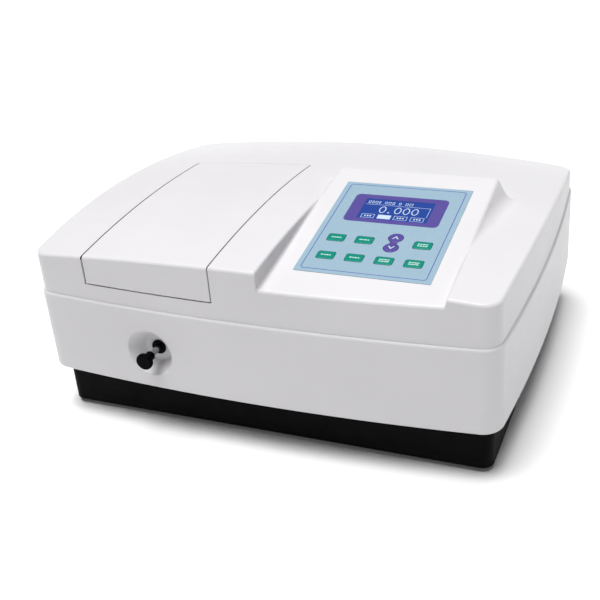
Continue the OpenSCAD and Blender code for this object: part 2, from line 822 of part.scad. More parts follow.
module lead_screw() color(steel) place() {
    rod_y(screw_x, screw_z, -8, 53, lead_r);
    rod_y(screw_x, screw_z, -15, -7, journal_r);
    rod_y(screw_x, screw_z, 52, 76, journal_r);
}

module drive_nut() color("#b08a3c") place() difference() {
    union() {
        box([screw_x - 8, nut_y1 - nut_l, screw_z - 8], [screw_x + 8, nut_y1, screw_z + 8]);
        box([grating_x + arm_l - 1, nut_y1 - 5, arm_z], [screw_x - 7, nut_y1, arm_z + arm_t]);
    }
    rod_y(screw_x, screw_z, nut_y1 - nut_l - 1, nut_y1 + 1, lead_r + run_fit);
}

module wavelength_motor() color("#3b3e43") place() difference() {
    box([screw_x - motor_half, mono_y1, screw_z - motor_half],
        [screw_x + motor_half, mono_y1 + motor_l, screw_z + motor_half]);
    rod_y(screw_x, screw_z, mono_y1 - 1, mono_y1 + 18, journal_r + run_fit);
}

module concave_mirror(r, t) difference() {
    cylinder(r = r, h = t);
    translate([0, 0, t + mirror_R - mirror_sag]) sphere(r = mirror_R, $fn = 180);
}

module entrance_mirror() color("#c9d3da") place() {
    translate([slit_x + 2, -108, beam_z]) rotate([0, 0, 12]) rotate([-90, 0, 0]) concave_mirror(15, 6);
    box([slit_x - 8, -112.5, bench_top + mono_wall], [slit_x + 12, -104, 69]);
}

module exit_mirror() color("#c9d3da") place() {
    translate([97, beam_y, beam_z]) rotate([0, 0, 8]) rotate([0, -90, 0]) concave_mirror(15, 6);
    box([91, beam_y - 10, bench_top + mono_wall], [99.5, beam_y + 10, 69]);
}

module slit_plates() color("#3c3f44") place() {
    difference() {
        rod_x_axis(beam_y, beam_z, mono_x0 + mono_wall, mono_x0 + mono_wall + 0.6, 9);
        box([mono_x0, beam_y - 0.5, beam_z - 5], [mono_x0 + 10, beam_y + 0.5, beam_z + 5]);
    }
    difference() {
        rod_y(slit_x, beam_z, mono_y1 - mono_wall - 0.6, mono_y1 - mono_wall, 9);
        box([slit_x - 0.5, mono_y1 - 10, beam_z - 5], [slit_x + 0.5, mono_y1, beam_z + 5]);
    }
}

module filter_wheel() color("#2f3237") place() {
    difference() {
        rod_y(wheel_x, beam_z, mono_y1 + 4, mono_y1 + 7, wheel_r);
        for (a = [0:60:300]) translate([wheel_x, 0, beam_z]) rotate([0, a, 0])
            rod_y(filter_ring_r, 0, mono_y1 + 3, mono_y1 + 8, 5);
    }
    rod_y(wheel_x, beam_z, mono_y1 + 6, mono_y1 + 10, 4);
    rod_y(wheel_x, beam_z, mono_y1 + 9, mono_y1 + 25, wheel_shaft_r);
}

module filter_motor() color(steel) place() difference() {
    union() {
        rod_y(wheel_x, beam_z, mono_y1 + 12, mono_y1 + 32, 10);
        box([wheel_x - 8, mono_y1 + 14, bench_top], [wheel_x + 8, mono_y1 + 30, beam_z - 7]);
    }
    rod_y(wheel_x, beam_z, mono_y1 + 11, mono_y1 + 26, wheel_shaft_r + run_fit);
}

// ---- Lamp ----

module lamp_house() color(cast) place() difference() {
    box([lamp_x0, lamp_y0, bench_top], [lamp_x1, lamp_y1, lamp_top]);
    box([lamp_x0 + sheet_t, lamp_y0 + sheet_t, bench_top - 1], [lamp_x1 - sheet_t, lamp_y1 - sheet_t,
        lamp_top - sheet_t]);
    rod_y(slit_x, beam_z, lamp_y0 - 1, lamp_y0 + sheet_t + 1, 8);
    for (i = [0:6]) {
        x = lamp_x0 + 10 + i * vent_pitch;
        box([x, lamp_y0 + 8, lamp_top - 3], [x + vent_w, lamp_y1 - 8, lamp_top + 1]);
        box([x, lamp_y1 - 3, bench_top + 14], [x + vent_w, lamp_y1 + 1, lamp_top - 12]);
    }
}

module lamp_socket() color("#e8e2d2") place() difference() {
    box([slit_x - socket_half, lamp_y - socket_half, bench_top],
        [slit_x + socket_half, lamp_y + socket_half, 66]);
    for (s = [-1, 1]) post(slit_x + s * pin_dx, lamp_y, 60, 67, 0.6);
}

module halogen_lamp() color("#dfe9ee") place() {
    post(slit_x, lamp_y, 70, 90, bulb_r);
    translate([slit_x, lamp_y, 90]) sphere(r = bulb_r);
    box([slit_x - 5, lamp_y - 2, 66.5], [slit_x + 5, lamp_y + 2, 71]);
    for (s = [-1, 1]) post(slit_x + s * pin_dx, lamp_y, 61, 67, 0.5);
}

module source_mirror() color("#c9d3da") place() {
    translate([slit_x, 150, beam_z]) rotate([90, 0, 0]) concave_mirror(14, 5);
    box([slit_x - 8, 146, bench_top], [slit_x + 8, 152, 70]);
}

// ---- Detector and electronics ----

module detector_housing() color("#2b2d30") place() difference() {
    box([-199, beam_y - 20, bench_top], [tub_x0 - 1, beam_y + 20, 106]);
    box([-200, beam_y - 17, bench_top + 3], [tub_x0 - 4, beam_y + 17, 103]);
    rod_x_axis(beam_y, beam_z, tub_x0 - 6, tub_x0, 8);
}

module detector_board() color(board) place() {
    box([-200.6, beam_y - 18, bench_top + 2], [-199, beam_y + 18, 104]);
    rod_x_axis(beam_y, beam_z, -199.1, -192, 4.5);
    box([-199.1, beam_y - 12, 60], [-196, beam_y + 12, 68]);
}

module power_supply() color(steel) place() difference() {
    box([120, -10, plate_z + plate_t], [202, 148, 62]);
    box([121.5, -8.5, plate_z + plate_t - 1], [200.5, 146.5, 60.5]);
    for (i = [0:8]) box([134, 2 + i * 16, 59], [190, 8 + i * 16, 63]);
}

module main_board() color(board) place() {
    box([-195, 74, 60], [-35, 158, 61.6]);
    for (x = [-190, -40], y = [79, 153]) post(x, y, bench_top, 60, 3);
    box([-150, 100, 61.5], [-124, 126, 64.5]);
    box([-105, 96, 61.5], [-87, 106, 65]);
    box([-105, 116, 61.5], [-87, 126, 65]);
    box([-185, 90, 61.5], [-177, 140, 70]);
    box([-60, 84, 61.5], [-52, 134, 70]);
    for (i = [0:4]) post(-140 + i * 14, 146, 61.5, 74, 4.5);
}

fan_y1 = back_y - wall;
fan_y0 = fan_y1 - fan_t;

module fan_frame() color(black) place() difference() {
    union() {
        difference() {
            translate([fan_x, fan_y0, fan_z]) rotate([-90, 0, 0]) linear_extrude(fan_t)
                round_rect(fan_size, fan_size, 4);
            rod_y(fan_x, fan_z, fan_y0 - 1, fan_y1 + 1, 28.5);
        }
        rod_y(fan_x, fan_z, fan_y0, fan_y0 + 3, 12);
        for (a = [45:90:315])
            translate([fan_x, fan_y0, fan_z]) rotate([0, a, 0]) box([8, 0, -1.5], [29, 2, 1.5]);
    }
    rod_y(fan_x, fan_z, fan_y0 - 1, fan_y0 + 4, 1.5 + run_fit);
    for (x = [-25, 25], z = [-25, 25]) rod_y(fan_x + x, fan_z + z, fan_y0 - 1, fan_y1 + 1, 2.2);
}

module fan_rotor() color("#2a2c30") place() translate([fan_x, 0, fan_z]) {
    rod_y(0, 0, fan_y0 + 3.6, fan_y1 - 1.5, 11);
    rod_y(0, 0, fan_y0 + 0.4, fan_y0 + 5, 1.5);
    intersection() {
        rod_y(0, 0, fan_y0 + 3.6, fan_y1 - 1.5, 27.6);
        for (a = [0:360 / 7:359]) rotate([0, a, 0]) translate([10, (fan_y0 + fan_y1) / 2 + 1, 0])
            rotate([38, 0, 0]) translate([0, -0.7, -8]) cube([19, 1.4, 16]);
    }
}

module power_inlet() color(black) place() difference() {
    union() {
        inlet_cutout(back_y - inlet_depth, back_y + 1, 0);
        translate([inlet_x, back_y + inlet_flange, inlet_z]) rotate([90, 0, 0])
            linear_extrude(inlet_flange) round_rect(inlet_w + 6, inlet_h + 6, 3);
    }
    // Inlet socket for the mains lead
    translate([inlet_x, back_y + inlet_flange + 1, socket_z]) rotate([90, 0, 0])
        linear_extrude(17.5) polygon([[-12.1, -8.3], [12.1, -8.3], [12.1, 3.8], [7.6, 8.3],
            [-7.6, 8.3], [-12.1, 3.8]]);
    box([inlet_x - 11.4, back_y - 20, fuse_z - 4.9], [inlet_x + 11.4, back_y + 4, fuse_z + 4.9]);
    box([inlet_x - rocker_w / 2 - 0.4, back_y - 8, rocker_z - 7.4],
        [inlet_x + rocker_w / 2 + 0.4, back_y + 4, rocker_z + 7.4]);
}

// Three blades stand in the socket; they belong to the inlet's moulding
module inlet_blades() for (p = [[-7, -2], [0, 2.5], [7, -2]])
    box([inlet_x + p[0] - 1, back_y - 15, socket_z + p[1] - 2.2],
        [inlet_x + p[0] + 1, back_y + inlet_flange - 3, socket_z + p[1] + 2.2]);

module power_inlet_full() {
    power_inlet();
    color(steel) place() inlet_blades();
}

module power_rocker() color("#1d1e21") place()
    translate([inlet_x, back_y + inlet_flange - 0.6, rocker_z]) rotate([rocker_tilt, 0, 0])
        translate([-rocker_w / 2, 0, 0]) rotate([90, 0, 90]) linear_extrude(rocker_w)
            polygon([[-4, -4.6], [0.6, -rocker_half], [2.75, -rocker_half], [1.6, 0],
                [2.75, rocker_half], [0.6, rocker_half], [-4, 4.6]]);

module fuse_drawer() color(black) place() {
    box([inlet_x - 10.9, back_y - 18, fuse_z - 4.4],
        [inlet_x + 10.9, back_y + inlet_flange + 0.6, fuse_z + 4.4]);
    box([inlet_x - 4, back_y + inlet_flange, fuse_z - 1],
        [inlet_x + 4, back_y + inlet_flange + 1.6, fuse_z + 1]);
}

module data_port() color(steel) place() difference() {
    union() {
        box([port_x - 15, back_y - 14, 77], [port_x + 15, back_y - wall, 92]);
        box([port_x - port_half, back_y - wall - 1, port_z0], [port_x + port_half, back_y + 2.5, port_z1]);
    }
    box([port_x - port_half + port_wall, back_y - 5, port_z0 + port_wall],
        [port_x + port_half - port_wall, back_y + 4, port_z1 - port_wall]);
}

base_tray();
rubber_feet();
case_screws();
lower_shell();
upper_cover();
chassis_plate();
optical_base();
keypad_overlay();
display_window();
lcd_module();
panel_bracket();
keypad_board();
key_a1();
key_a2();
key_a4();
key_b1();
key_b2();
key_b3();
key_b4();
key_up();
key_down();
sample_lid();
hinge_pins();
hinge_brackets();
sample_chamber();
chamber_gasket();
pull_rod();
pull_knob();
rod_bush();
cell_carriage();
cell_springs();
carriage_rails();
detent_spring();
beam_lenses();
mono_housing();
mono_cover();
grating();
grating_table();
lead_screw();
drive_nut();
wavelength_motor();
entrance_mirror();
exit_mirror();
slit_plates();
filter_wheel();
filter_motor();
lamp_house();
halogen_lamp();
lamp_socket();
source_mirror();
detector_housing();
detector_board();
power_supply();
main_board();
fan_frame();
fan_rotor();
power_inlet_full();  // power_inlet
power_rocker();
fuse_drawer();
data_port();
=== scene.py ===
"""Benchtop spectrophotometer: finished surfaces, materials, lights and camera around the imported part.

Lengths are millimetres in the case frame of the part's source: x = 0, y = 0 is the middle of the white
case and z = 0 the underside of its black base. row() turns them into the metres of the shared frame.
"""
import json
import math

import bpy
import numpy as np
from mathutils import Matrix, Vector
from mathutils.geometry import delaunay_2d_cdt
from mathutils.kdtree import KDTree


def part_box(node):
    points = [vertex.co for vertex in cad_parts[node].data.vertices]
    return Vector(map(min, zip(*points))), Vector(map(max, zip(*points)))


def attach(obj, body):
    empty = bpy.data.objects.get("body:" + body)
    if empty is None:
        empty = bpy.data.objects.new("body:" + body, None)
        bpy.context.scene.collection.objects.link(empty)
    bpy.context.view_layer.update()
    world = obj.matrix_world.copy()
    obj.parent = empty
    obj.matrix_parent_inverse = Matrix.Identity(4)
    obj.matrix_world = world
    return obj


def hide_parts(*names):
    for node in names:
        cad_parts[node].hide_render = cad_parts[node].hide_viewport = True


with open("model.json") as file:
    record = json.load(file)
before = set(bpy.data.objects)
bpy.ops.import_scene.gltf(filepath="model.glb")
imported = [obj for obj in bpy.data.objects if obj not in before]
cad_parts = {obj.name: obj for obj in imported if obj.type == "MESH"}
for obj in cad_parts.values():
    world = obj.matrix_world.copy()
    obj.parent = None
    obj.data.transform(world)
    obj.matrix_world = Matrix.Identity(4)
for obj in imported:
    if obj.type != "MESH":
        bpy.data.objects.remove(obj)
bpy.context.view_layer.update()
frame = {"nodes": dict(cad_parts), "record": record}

MM = 0.001
UP = np.array((0.0, 0.0, 1.0))
DEG = math.pi / 180

# ---- Sizes of the case ----

shell_lo, shell_hi = (np.array(corner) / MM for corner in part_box("lower_shell"))
SHIFT_Y = (shell_lo[1] + shell_hi[1]) / 2
FOOT_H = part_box("base_tray")[0][2] / MM
CASE_W, CASE_D = 470.0, shell_hi[1] - shell_lo[1]
FRONT_BOW, SIDE_BOW = 12.57, 9.34
CORNER_R = 20.0
WALL, SKIN = 3.0, 2.4
BASE_H = shell_lo[2] - FOOT_H
BASE_OPENING_W, BASE_OPENING_D, BASE_OPENING_Y, BASE_OPENING_R = 410.0, 314.5, 4.75, 6.0
SEAM_Z, SEAM_R, SEAM_LIP = 130.0, 3.0, 1.6
SHELL_FOOT_R = 2.5
COVER_INSET, COVER_R = 2.0, 3.2
RING_INSET = COVER_INSET + COVER_R
EDGE_R = 0.85

CROWN_TOP, CROWN_Y = 189.5, -58.7
CROWN_RX, CROWN_RY = 1841.0, 1146.0

LID_LEFT, LID_RIGHT = -164.2, -30.2
LID_MID = (LID_LEFT + LID_RIGHT) / 2
LID_FLAP_Z = 147.4
LID_GAP, LID_LEFT_GAP = 1.0, 1.4
HINGE_Y, HINGE_Z = 42.8, 174.2
HINGE_TILT = 2 * DEG
HINGE_AXIS = np.array((math.cos(HINGE_TILT), 0, math.sin(HINGE_TILT)))
HINGE_SPOTS = (-50, 50)
KNUCKLE_R, KNUCKLE_W, KNUCKLE_EASE = 3.3, 8.0, 0.5
LID_TAIL_R, COVER_TAIL_R = 17.0, 17.8
RIB_T, RIB_H, RIB_FRONT = 2, 11, -181
COLLAR_Z, COLLAR_FRONT, COLLAR_BACK = 144.0, -176.0, 61.5

PANEL = np.array((99.84, -79.55, 182.45))
PANEL_TILT = 8.935 * DEG
PANEL_HALF_FRONT, PANEL_HALF_BACK = 82.8, 80.2
PANEL_HALF = (PANEL_HALF_FRONT + PANEL_HALF_BACK) / 2
PANEL_BACK = 103.5
PANEL_TAPER = math.atan((PANEL_HALF_FRONT - PANEL_HALF_BACK) / (2 * PANEL_BACK))
RAISED_DRAFT, RECESS_DRAFT, BACK_LEAN = 25 * DEG, 2 * DEG, 5 * DEG
CONSOLE_EDGE_R, CONSOLE_FOOT_R = 2.2, 7.0
RECESS_EDGE_R, RECESS_FOOT_R = 2.4, 3.0
STEP_SHARE = 0.85

ROD_X, BEAM_Z = -101.4, 82.0
ROD_HOLE_R = 6.0
DISH_R, DISH_FLOOR_R = 24.2, 14.2
DISH_MOUTH_Y, DISH_FLOOR_Y = -189, -173.4
DISH_DEPTH = DISH_FLOOR_Y - DISH_MOUTH_Y
DISH_SLOPE = (DISH_R - DISH_FLOOR_R) / DISH_DEPTH
DISH_LEAN_X, DISH_LEAN_Z = -2.4 / DISH_DEPTH, 1.2 / DISH_DEPTH
DISH_RIM_R, DISH_FOOT_R = 1.8, 2.4
DISH_LIP = 4

# Cut-outs in the rear wall: middle across and up, half width and half height
INLET_CUT, PORT_CUT = (170, 80, 13.8, 29.3), (-120, 84.5, 9.6, 5.5)
LOUVRE_CUTS = [(55, 88 + i * 7.4, 24, 1.8) for i in range(-3, 4)]

# Spacing of mesh points: along walls and round corners, between neighbours, and beside an eased edge
COLUMN_STEP, COLUMN_TURN, STRAIGHT_FROM_R = 12.0, 7.5, 100
CLEAR, SPARSE, SEWN, TOUCH, FAR = 1.5, 7.5, 0.03, 1e-6, 99
EDGE_STEPS = np.array((0, 0.12, 0.3, EDGE_R, 1.0, 2.2, 5.0))
RIM_ROWS = (0.6, 1.8, 4.5)


def row(points):
    """Case-frame millimetres to metres in the shared frame."""
    return (np.asarray(points, float) + (0, SHIFT_Y, FOOT_H)) * MM


def unit(v):
    return v / np.maximum(np.linalg.norm(v, axis=-1, keepdims=True), 1e-12)


def about(u, v, half_w, half_l):
    """Ends of a rectangle, low and high across and then along, from its middle."""
    return u - half_w, u + half_w, v - half_l, v + half_l


BACK_CUTS = [about(*cut) for cut in (INLET_CUT, PORT_CUT, *LOUVRE_CUTS)]


# ---- The case's plan ----

def bearing(a, b):
    return math.atan2(b[1] - a[1], b[0] - a[0])


def plan_runs():
    """Arcs and straight stretches of the plan, anticlockwise from the back's middle."""
    front_r = ((CASE_W / 2) ** 2 + FRONT_BOW ** 2) / (2 * FRONT_BOW)
    side_r = ((CASE_D / 2) ** 2 + SIDE_BOW ** 2) / (2 * SIDE_BOW)
    front_c = np.array((0, -CASE_D / 2 + front_r))
    side_c = np.array((CASE_W / 2 - side_r, 0))
    ra, rb = front_r - CORNER_R, side_r - CORNER_R
    gap = np.linalg.norm(side_c - front_c)
    along = (ra ** 2 - rb ** 2 + gap ** 2) / (2 * gap)
    across = math.sqrt(ra ** 2 - along ** 2)
    way = (side_c - front_c) / gap
    front_corner = front_c + along * way + across * np.array((-way[1], way[0]))
    back_y = CASE_D / 2 - CORNER_R
    back_corner = np.array((side_c[0] + math.sqrt(rb ** 2 - back_y ** 2), back_y))
    a_front = bearing(front_c, front_corner)
    a_side = bearing(side_c, front_corner)
    a_rear = bearing(side_c, back_corner)
    flip = np.array((-1, 1))
    right = [(front_corner, CORNER_R, a_front, a_side), (side_c, side_r, a_side, a_rear),
             (back_corner, CORNER_R, a_rear, math.pi / 2)]
    left = [(c * flip, r, math.pi - a1, math.pi - a0) for c, r, a0, a1 in reversed(right)]
    front = [(front_c, front_r, -math.pi - a_front, a_front)]
    half = back_corner[0]
    runs, s = [], 0.0
    stretches = [((0, CASE_D / 2), half)] + left + front + right + [((half, CASE_D / 2), half)]
    for stretch in stretches:
        length = stretch[1] if len(stretch) == 2 else stretch[1] * (stretch[3] - stretch[2])
        runs.append((s, length, stretch))
        s += length
    return runs, s


RUNS, GIRTH = plan_runs()
FRONT_S, _, (FRONT_C, FRONT_RAD, FRONT_A0, _) = RUNS[4]


def plan(s, inset=0.0):
    """Points and outward normals of the plan at distances s along it, moved in by inset."""
    s = np.asarray(s, float) % GIRTH
    inset = np.broadcast_to(np.asarray(inset, float), s.shape)
    xy, out = np.zeros(s.shape + (2,)), np.zeros(s.shape + (2,))
    for start, length, stretch in RUNS:
        on = (s >= start) & (s <= start + length)
        if len(stretch) == 2:
            p0, _ = stretch
            out[on] = (0, 1)
            xy[on] = np.array(p0) + np.outer(s[on] - start, (-1, 0)) - inset[on, None] * (0, 1)
        else:
            c, r, a0, _ = stretch
            a = a0 + (s[on] - start) / r
            out[on] = np.stack((np.cos(a), np.sin(a)), -1)
            xy[on] = c + (r - inset[on])[:, None] * out[on]
    return xy, out


def front_s(x, inset=0.0):
    """Distance along the plan of the front wall's point at x."""
    return FRONT_S + FRONT_RAD * (np.arcsin(np.asarray(x) / (FRONT_RAD - inset)) - math.pi / 2 - FRONT_A0)


def front_y(x, inset=0.0):
    return FRONT_C[1] - np.sqrt((FRONT_RAD - inset) ** 2 - np.asarray(x) ** 2)


def plan_columns(extra=()):
    """Distances along the plan, close together in the corners, with extra ones added."""
    cols = [0.0]
    for start, length, stretch in RUNS:
        straight = len(stretch) == 2 or stretch[1] > STRAIGHT_FROM_R
        step = COLUMN_STEP if straight else stretch[1] * COLUMN_TURN * DEG
        n = max(1, math.ceil(length / step))
        cols += list(start + length * np.arange(1, n + 1) / n)
    cols = np.array(cols)
    extra = np.array(sorted(extra))
    if len(extra):
        near = np.abs(cols[:, None] - extra[None, :]).min(1)
        keep = (near > CLEAR) | (cols == 0) | (cols == cols[-1])
        cols = np.concatenate((cols[keep], extra))
    return np.sort(cols)


# ---- Surface tools ----

def inside(points, loop):
    """True for the points inside a closed loop."""
    x, y = points[:, 0], points[:, 1]
    hit = np.zeros(len(points), bool)
    a = np.asarray(loop)
    for p, q in zip(a, np.roll(a, -1, axis=0)):
        cross = (p[1] > y) != (q[1] > y)
        if not cross.any():
            continue
        at = p[0] + (y[cross] - p[1]) * (q[0] - p[0]) / (q[1] - p[1])
        hit[cross] ^= x[cross] < at
    return hit


def loop_distance(points, loop):
    """Distance of each point from a closed loop."""
    a = np.asarray(loop, float)
    b = np.roll(a, -1, axis=0)
    best = np.full(len(points), np.inf)
    for p, q in zip(a, b):
        d = q - p
        t = np.clip(((points - p) @ d) / max(d @ d, 1e-12), 0, 1)
        best = np.minimum(best, np.hypot(*(points - p - t[:, None] * d).T))
    return best


def fill(loops, points=()):
    """Triangles over the flat region inside loops[0] and outside the other loops."""
    stack = [np.asarray(loop, float) for loop in loops]
    edges, base = [], 0
    for loop in stack:
        n = len(loop)
        edges += [(base + i, base + (i + 1) % n) for i in range(n)]
        base += n
    if len(points):
        stack.append(np.asarray(points, float))
    every = np.vstack(stack)
    made = delaunay_2d_cdt([Vector(p) for p in every], edges, [], 0, 1e-5, True)
    uv = np.array([every[ids[0]] if ids else tuple(v) for v, ids in zip(made[0], made[3])])
    tris = np.array([t for t in made[2] if len(t) == 3])
    middle = uv[tris].mean(1)
    keep = inside(middle, loops[0])
    for hole in loops[1:]:
        keep &= ~inside(middle, hole)
    tris = tris[keep]
    a, b, c = uv[tris.T]
    turned = (b[:, 0] - a[:, 0]) * (c[:, 1] - a[:, 1]) - (b[:, 1] - a[:, 1]) * (c[:, 0] - a[:, 0]) < 0
    tris[turned] = tris[turned][:, ::-1]
    return uv, tris


def grid_faces(rows, cols, closed=False):
    """Triangles of a grid of points, its columns joined up if closed."""
    last = cols if closed else cols - 1
    tris = []
    for i in range(rows - 1):
        for j in range(last):
            k = (j + 1) % cols
            a, b, c, d = i * cols + j, i * cols + k, (i + 1) * cols + k, (i + 1) * cols + j
            tris += [(a, b, c), (a, c, d)]
    return np.array(tris)


def ring_normals(points):
    """Normals of a rows x cols x 3 grid whose rows close on themselves, from its neighbours."""
    along = np.roll(points, -1, axis=1) - np.roll(points, 1, axis=1)
    return unit(np.cross(along, np.gradient(points, axis=0)))


def rim_edges(tris):
    """Directed edges that only one triangle has."""
    edges = np.vstack((tris[:, (0, 1)], tris[:, (1, 2)], tris[:, (2, 0)]))
    have = {tuple(e) for e in edges}
    return [(a, b) for a, b in edges if (b, a) not in have]


def join(patches):
    """Patches of (points, normals, triangles) made one, their edges sewn where they meet."""
    points = np.vstack([p for p, _, _ in patches])
    normals = np.vstack([n for _, n, _ in patches])
    tris, base = [], 0
    for p, _, t in patches:
        tris.append(t + base)
        base += len(p)
    tris = np.vstack(tris)
    rim = sorted({int(i) for e in rim_edges(tris) for i in e})
    tree = KDTree(len(rim))
    for i in rim:
        tree.insert(points[i], i)
    tree.balance()
    to = np.arange(len(points))
    for i in rim:
        to[i] = min(j for _, j, _ in tree.find_range(points[i], SEWN))
    tris = to[tris]
    whole = (tris[:, 0] != tris[:, 1]) & (tris[:, 1] != tris[:, 2]) & (tris[:, 2] != tris[:, 0])
    return points, normals, tris[whole]


def smooth_corners(tris, normals):
    return [normals[i] for t in tris for i in t]


def make(name, body, points, faces, corner_normals, mats, face_mat=None):
    """A mesh piece in the shared frame that rides on a CAD body."""
    used = np.unique(np.concatenate([np.asarray(f) for f in faces]))
    to = np.full(len(points), -1)
    to[used] = np.arange(len(used))
    mesh = bpy.data.meshes.new(name)
    mesh.from_pydata(row(np.asarray(points)[used]).tolist(), [], [[int(to[i]) for i in f] for f in faces])
    for mat in mats:
        mesh.materials.append(mat)
    if face_mat is not None:
        mesh.polygons.foreach_set("material_index", face_mat)
    mesh.polygons.foreach_set("use_smooth", [True] * len(faces))
    mesh.normals_split_custom_set(unit(np.asarray(corner_normals)).tolist())
    mesh.update()
    obj = bpy.data.objects.new(name, mesh)
    bpy.context.scene.collection.objects.link(obj)
    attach(obj, body)
    return obj


def thick(patch, depth, inner=None):
    """A skin of that depth under a patch: points, faces and corner normals of a closed solid."""
    points, normals, tris = patch
    under = points - normals * depth if inner is None else inner
    n = len(points)
    faces = [tuple(t) for t in tris] + [(c + n, b + n, a + n) for a, b, c in tris]
    corner = smooth_corners(tris, normals) + smooth_corners(tris[:, ::-1], -normals)
    every = np.vstack((points, under))
    for a, b in rim_edges(tris):
        across = np.cross(every[a] - every[b], every[a + n] - every[b])
        if np.linalg.norm(across) < 1e-9:
            across = np.cross(every[a] - every[b], every[b + n] - every[b])
        faces.append((b, a, a + n, b + n))
        corner += [unit(across)] * 4
    return every, faces, corner


def rounded(corners, radii, steps=7):
    """An open polyline with its corners rounded; corners is n x 2 or a stack of such."""
    pts = np.asarray(corners, float)
    out = [pts[..., 0, :]]
    for k, radius in enumerate(radii, 1):
        back, here, on = pts[..., k - 1, :], pts[..., k, :], pts[..., k + 1, :]
        u, v = unit(back - here), unit(on - here)
        cosine = np.clip((u * v).sum(-1), -0.9999, 0.9999)
        half = np.arccos(cosine) / 2
        cut = np.minimum(radius / np.tan(half), 0.48 * np.minimum(
            np.linalg.norm(back - here, axis=-1), np.linalg.norm(on - here, axis=-1)))
        r = cut * np.tan(half)
        centre = here + unit(u + v) * (r / np.sin(half))[..., None]
        first, last = here + u * cut[..., None] - centre, here + v * cut[..., None] - centre
        sweep = math.pi - 2 * half
        for i in range(steps):
            f = i / (steps - 1)
            weight0 = np.sin((1 - f) * sweep) / np.sin(sweep)
            weight1 = np.sin(f * sweep) / np.sin(sweep)
            out.append(centre + weight0[..., None] * first + weight1[..., None] * last)
    out.append(pts[..., -1, :])
    return np.stack(out, -2)


# ---- The cover's top: crown and console ----

def crown_z(x, y):
    rho = CROWN_RX - CROWN_RY + np.sqrt(CROWN_RY ** 2 - (y - CROWN_Y) ** 2)
    return CROWN_TOP - CROWN_RX + np.sqrt(rho ** 2 - x ** 2)


def crown_gap(x, y, z):
    """Distance above the crown."""
    rho = np.hypot(x, z - (CROWN_TOP - CROWN_RX))
    return np.hypot(rho - (CROWN_RX - CROWN_RY), y - CROWN_Y) - CROWN_RY


def to_panel(x, y, z):
    """Across, up the slope and out of the console's face."""
    c, s = math.cos(PANEL_TILT), math.sin(PANEL_TILT)
    dy, dz = y - PANEL[1], z - PANEL[2]
    return x - PANEL[0], dy * c + dz * s, dz * c - dy * s


def from_panel(u, v, w):
    c, s = math.cos(PANEL_TILT), math.sin(PANEL_TILT)
    u, v, w = np.broadcast_arrays(np.asarray(u, float), v, w)
    return np.stack((PANEL[0] + u, PANEL[1] + v * c - w * s, PANEL[2] + v * s + w * c), -1)


def face_z(x, y):
    return PANEL[2] + (y - PANEL[1]) * math.tan(PANEL_TILT) + 0 * x


def side_gap(u, v, w, draft):
    """Distance outside the console's long sides, which lean out downwards by draft."""
    c, s = math.cos(draft), math.sin(draft)
    ct, st = math.cos(PANEL_TAPER), math.sin(PANEL_TAPER)
    return (np.abs(u) - PANEL_HALF) * c * ct + v * c * st + w * s


def round_and(a, b, r):
    """Distance to where two solids overlap, its edge rounded by r."""
    return np.minimum(-r, np.maximum(a, b)) + np.hypot(np.maximum(r + a, 0), np.maximum(r + b, 0))


def round_or(a, b, r):
    """Distance to two solids together, the corner between them filled by r."""
    return np.maximum(r, np.minimum(a, b)) - np.hypot(np.maximum(r - a, 0), np.maximum(r - b, 0))


def cover_gap(x, y, z):
    """Distance above the cover: its console stands above the crown behind and is cut into it in front."""
    u, v, w = to_panel(x, y, z)
    crown = crown_gap(x, y, z)
    step = (crown_z(x, y) - face_z(x, y)) * math.cos(PANEL_TILT)
    room = STEP_SHARE * np.abs(step)
    wall = -side_gap(u, v, w, -RECESS_DRAFT)
    recess = round_and(crown, round_or(w, wall, np.minimum(RECESS_FOOT_R, room)),
                       np.minimum(RECESS_EDGE_R, room))
    edge = np.minimum(CONSOLE_EDGE_R, room)
    back = (v - PANEL_BACK) * math.cos(BACK_LEAN) - w * math.sin(BACK_LEAN)
    block = round_and(round_and(w, side_gap(u, v, w, RAISED_DRAFT), edge), back, edge)
    raised = round_or(block, crown, np.minimum(CONSOLE_FOOT_R, room))
    return np.where(step > 0, recess, raised)


def cover_z(x, y):
    """Height of the cover's top, closed in on from below and from above its foot roundings."""
    x, y = np.asarray(x, float), np.asarray(y, float)
    below, above, halvings = 1, CONSOLE_FOOT_R + 1, 34
    low = np.minimum(crown_z(x, y), face_z(x, y)) - below
    high = np.maximum(crown_z(x, y), face_z(x, y)) + above
    for _ in range(halvings):
        middle = (low + high) / 2
        solid = cover_gap(x, y, middle) < 0
        low, high = np.where(solid, middle, low), np.where(solid, high, middle)
    return (low + high) / 2


def cover_normal(x, y, z):
    step = 0.02
    slope = [cover_gap(x + a, y + b, z + c) - cover_gap(x - a, y - b, z - c)
             for a, b, c in ((step, 0, 0), (0, step, 0), (0, 0, step))]
    return unit(np.stack(slope, -1))


def hinge_at(x):
    return HINGE_Z + (x - LID_MID) * math.tan(HINGE_TILT)


def tail_y(x, radius, z=None):
    """Where a round tail about the hinge meets a height, by default the crown's."""
    y = np.full_like(np.asarray(x, float), HINGE_Y + radius)
    for _ in range(12):
        at = crown_z(x, y) if z is None else z
        y = HINGE_Y + np.sqrt(np.maximum(radius ** 2 - (at - hinge_at(x)) ** 2, 1))
    return y


OPEN_X = (LID_LEFT - LID_LEFT_GAP, LID_RIGHT + LID_GAP)
OPEN_Z = LID_FLAP_Z - LID_GAP
OPEN_TAIL = tail_y(np.array(OPEN_X), COVER_TAIL_R)
NOTCH_S = front_s(np.array(OPEN_X), RING_INSET)


def open_y(x):
    return np.interp(x, OPEN_X, OPEN_TAIL)


